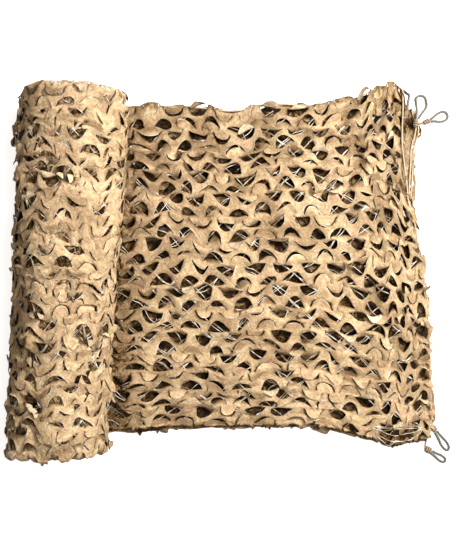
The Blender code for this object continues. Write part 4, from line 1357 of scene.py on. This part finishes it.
run_lines = twine_lines(
    CHART_LENGTH, UPPER_START, CHART_TOTAL, run_place, run_height, RUN_SEED, apart=0.074, depth=0.0060
)
over_gape = gathered_lines(GATHERED, seed=41)
run_twine = lay_twine("run_twine", run_lines + over_gape)
outer_turn = np.interp(TWINE_ROUND, wound_degrees, wound_length)
roll_lines = twine_lines(
    outer_turn, 0, CHART_WIDTH, roll_place, roll_height, ROLL_SEED, apart=0.052, depth=0.0050, side=-1
)
roll_twine = lay_twine("roll_twine", roll_lines)


# ---------------------------------------------------------------- floor and light
# A plain white studio floor under a large soft light and a small hard one, both from the right and the back,
# with a weak even fill.
FLOOR_HALF, FLOOR_GLOW = 6, 0.84
FILL_COLOUR, FILL_STRENGTH = (1.0, 0.76, 0.48), 0.135
BACKDROP_COLOUR, BACKDROP_STRENGTH = (0.97, 0.97, 0.97), 0.95

floor_corners = [(FLOOR_HALF * x, FLOOR_HALF * y, 0) for x, y in ((-1, -1), (1, -1), (1, 1), (-1, 1))]
floor_data = bpy.data.meshes.new("floor")
floor_data.from_pydata(floor_corners, [], [(0, 1, 2, 3)])
floor = bpy.data.objects.new("floor", floor_data)
scene.collection.objects.link(floor)
floor_white, floor_tree, floor_shader = new_material("floor_white")
floor_shader.inputs["Base Color"].default_value = (0.90, 0.90, 0.90, 1)
floor_shader.inputs["Roughness"].default_value = 0.9
floor_shader.inputs["Emission Color"].default_value = (1, 1, 1, 1)
# The white of the floor is lifted for the camera alone, so that it adds no light of its own.
seen = node(floor_tree, "ShaderNodeLightPath").outputs["Is Camera Ray"]
link(floor_tree, times(floor_tree, seen, FLOOR_GLOW), floor_shader.inputs["Emission Strength"])
floor_data.materials.append(floor_white)


def soft_light(name, place, aim, size, power, colour):
    data = bpy.data.lights.new(name, "AREA")
    data.shape, data.size, data.energy, data.color = "DISK", size, power, colour
    made = bpy.data.objects.new(name, data)
    made.location = place
    made.rotation_euler = (Vector(aim) - Vector(place)).to_track_quat("-Z", "Y").to_euler()
    scene.collection.objects.link(made)


soft_light("key", place=(0.9, 0.35, 2.6), aim=(0.1, 0, 0), size=1.3, power=54, colour=(1.0, 0.985, 0.96))
soft_light("edge", place=(1.45, 0.9, 1.9), aim=(0, 0, 0), size=0.26, power=90, colour=(1.0, 0.975, 0.94))
# The backdrop is pale where it is seen, and a weak warm fill where it lights.
world = bpy.data.worlds.new("studio")
world.use_nodes = True
sky = world.node_tree
backdrop = sky.nodes["Background"]
seen = node(sky, "ShaderNodeLightPath").outputs["Is Camera Ray"]
link(sky, between(sky, seen, FILL_COLOUR, BACKDROP_COLOUR), backdrop.inputs["Color"])
strength = ranged(sky, seen, to_low=FILL_STRENGTH, to_high=BACKDROP_STRENGTH)
link(sky, strength, backdrop.inputs["Strength"])
scene.world = world
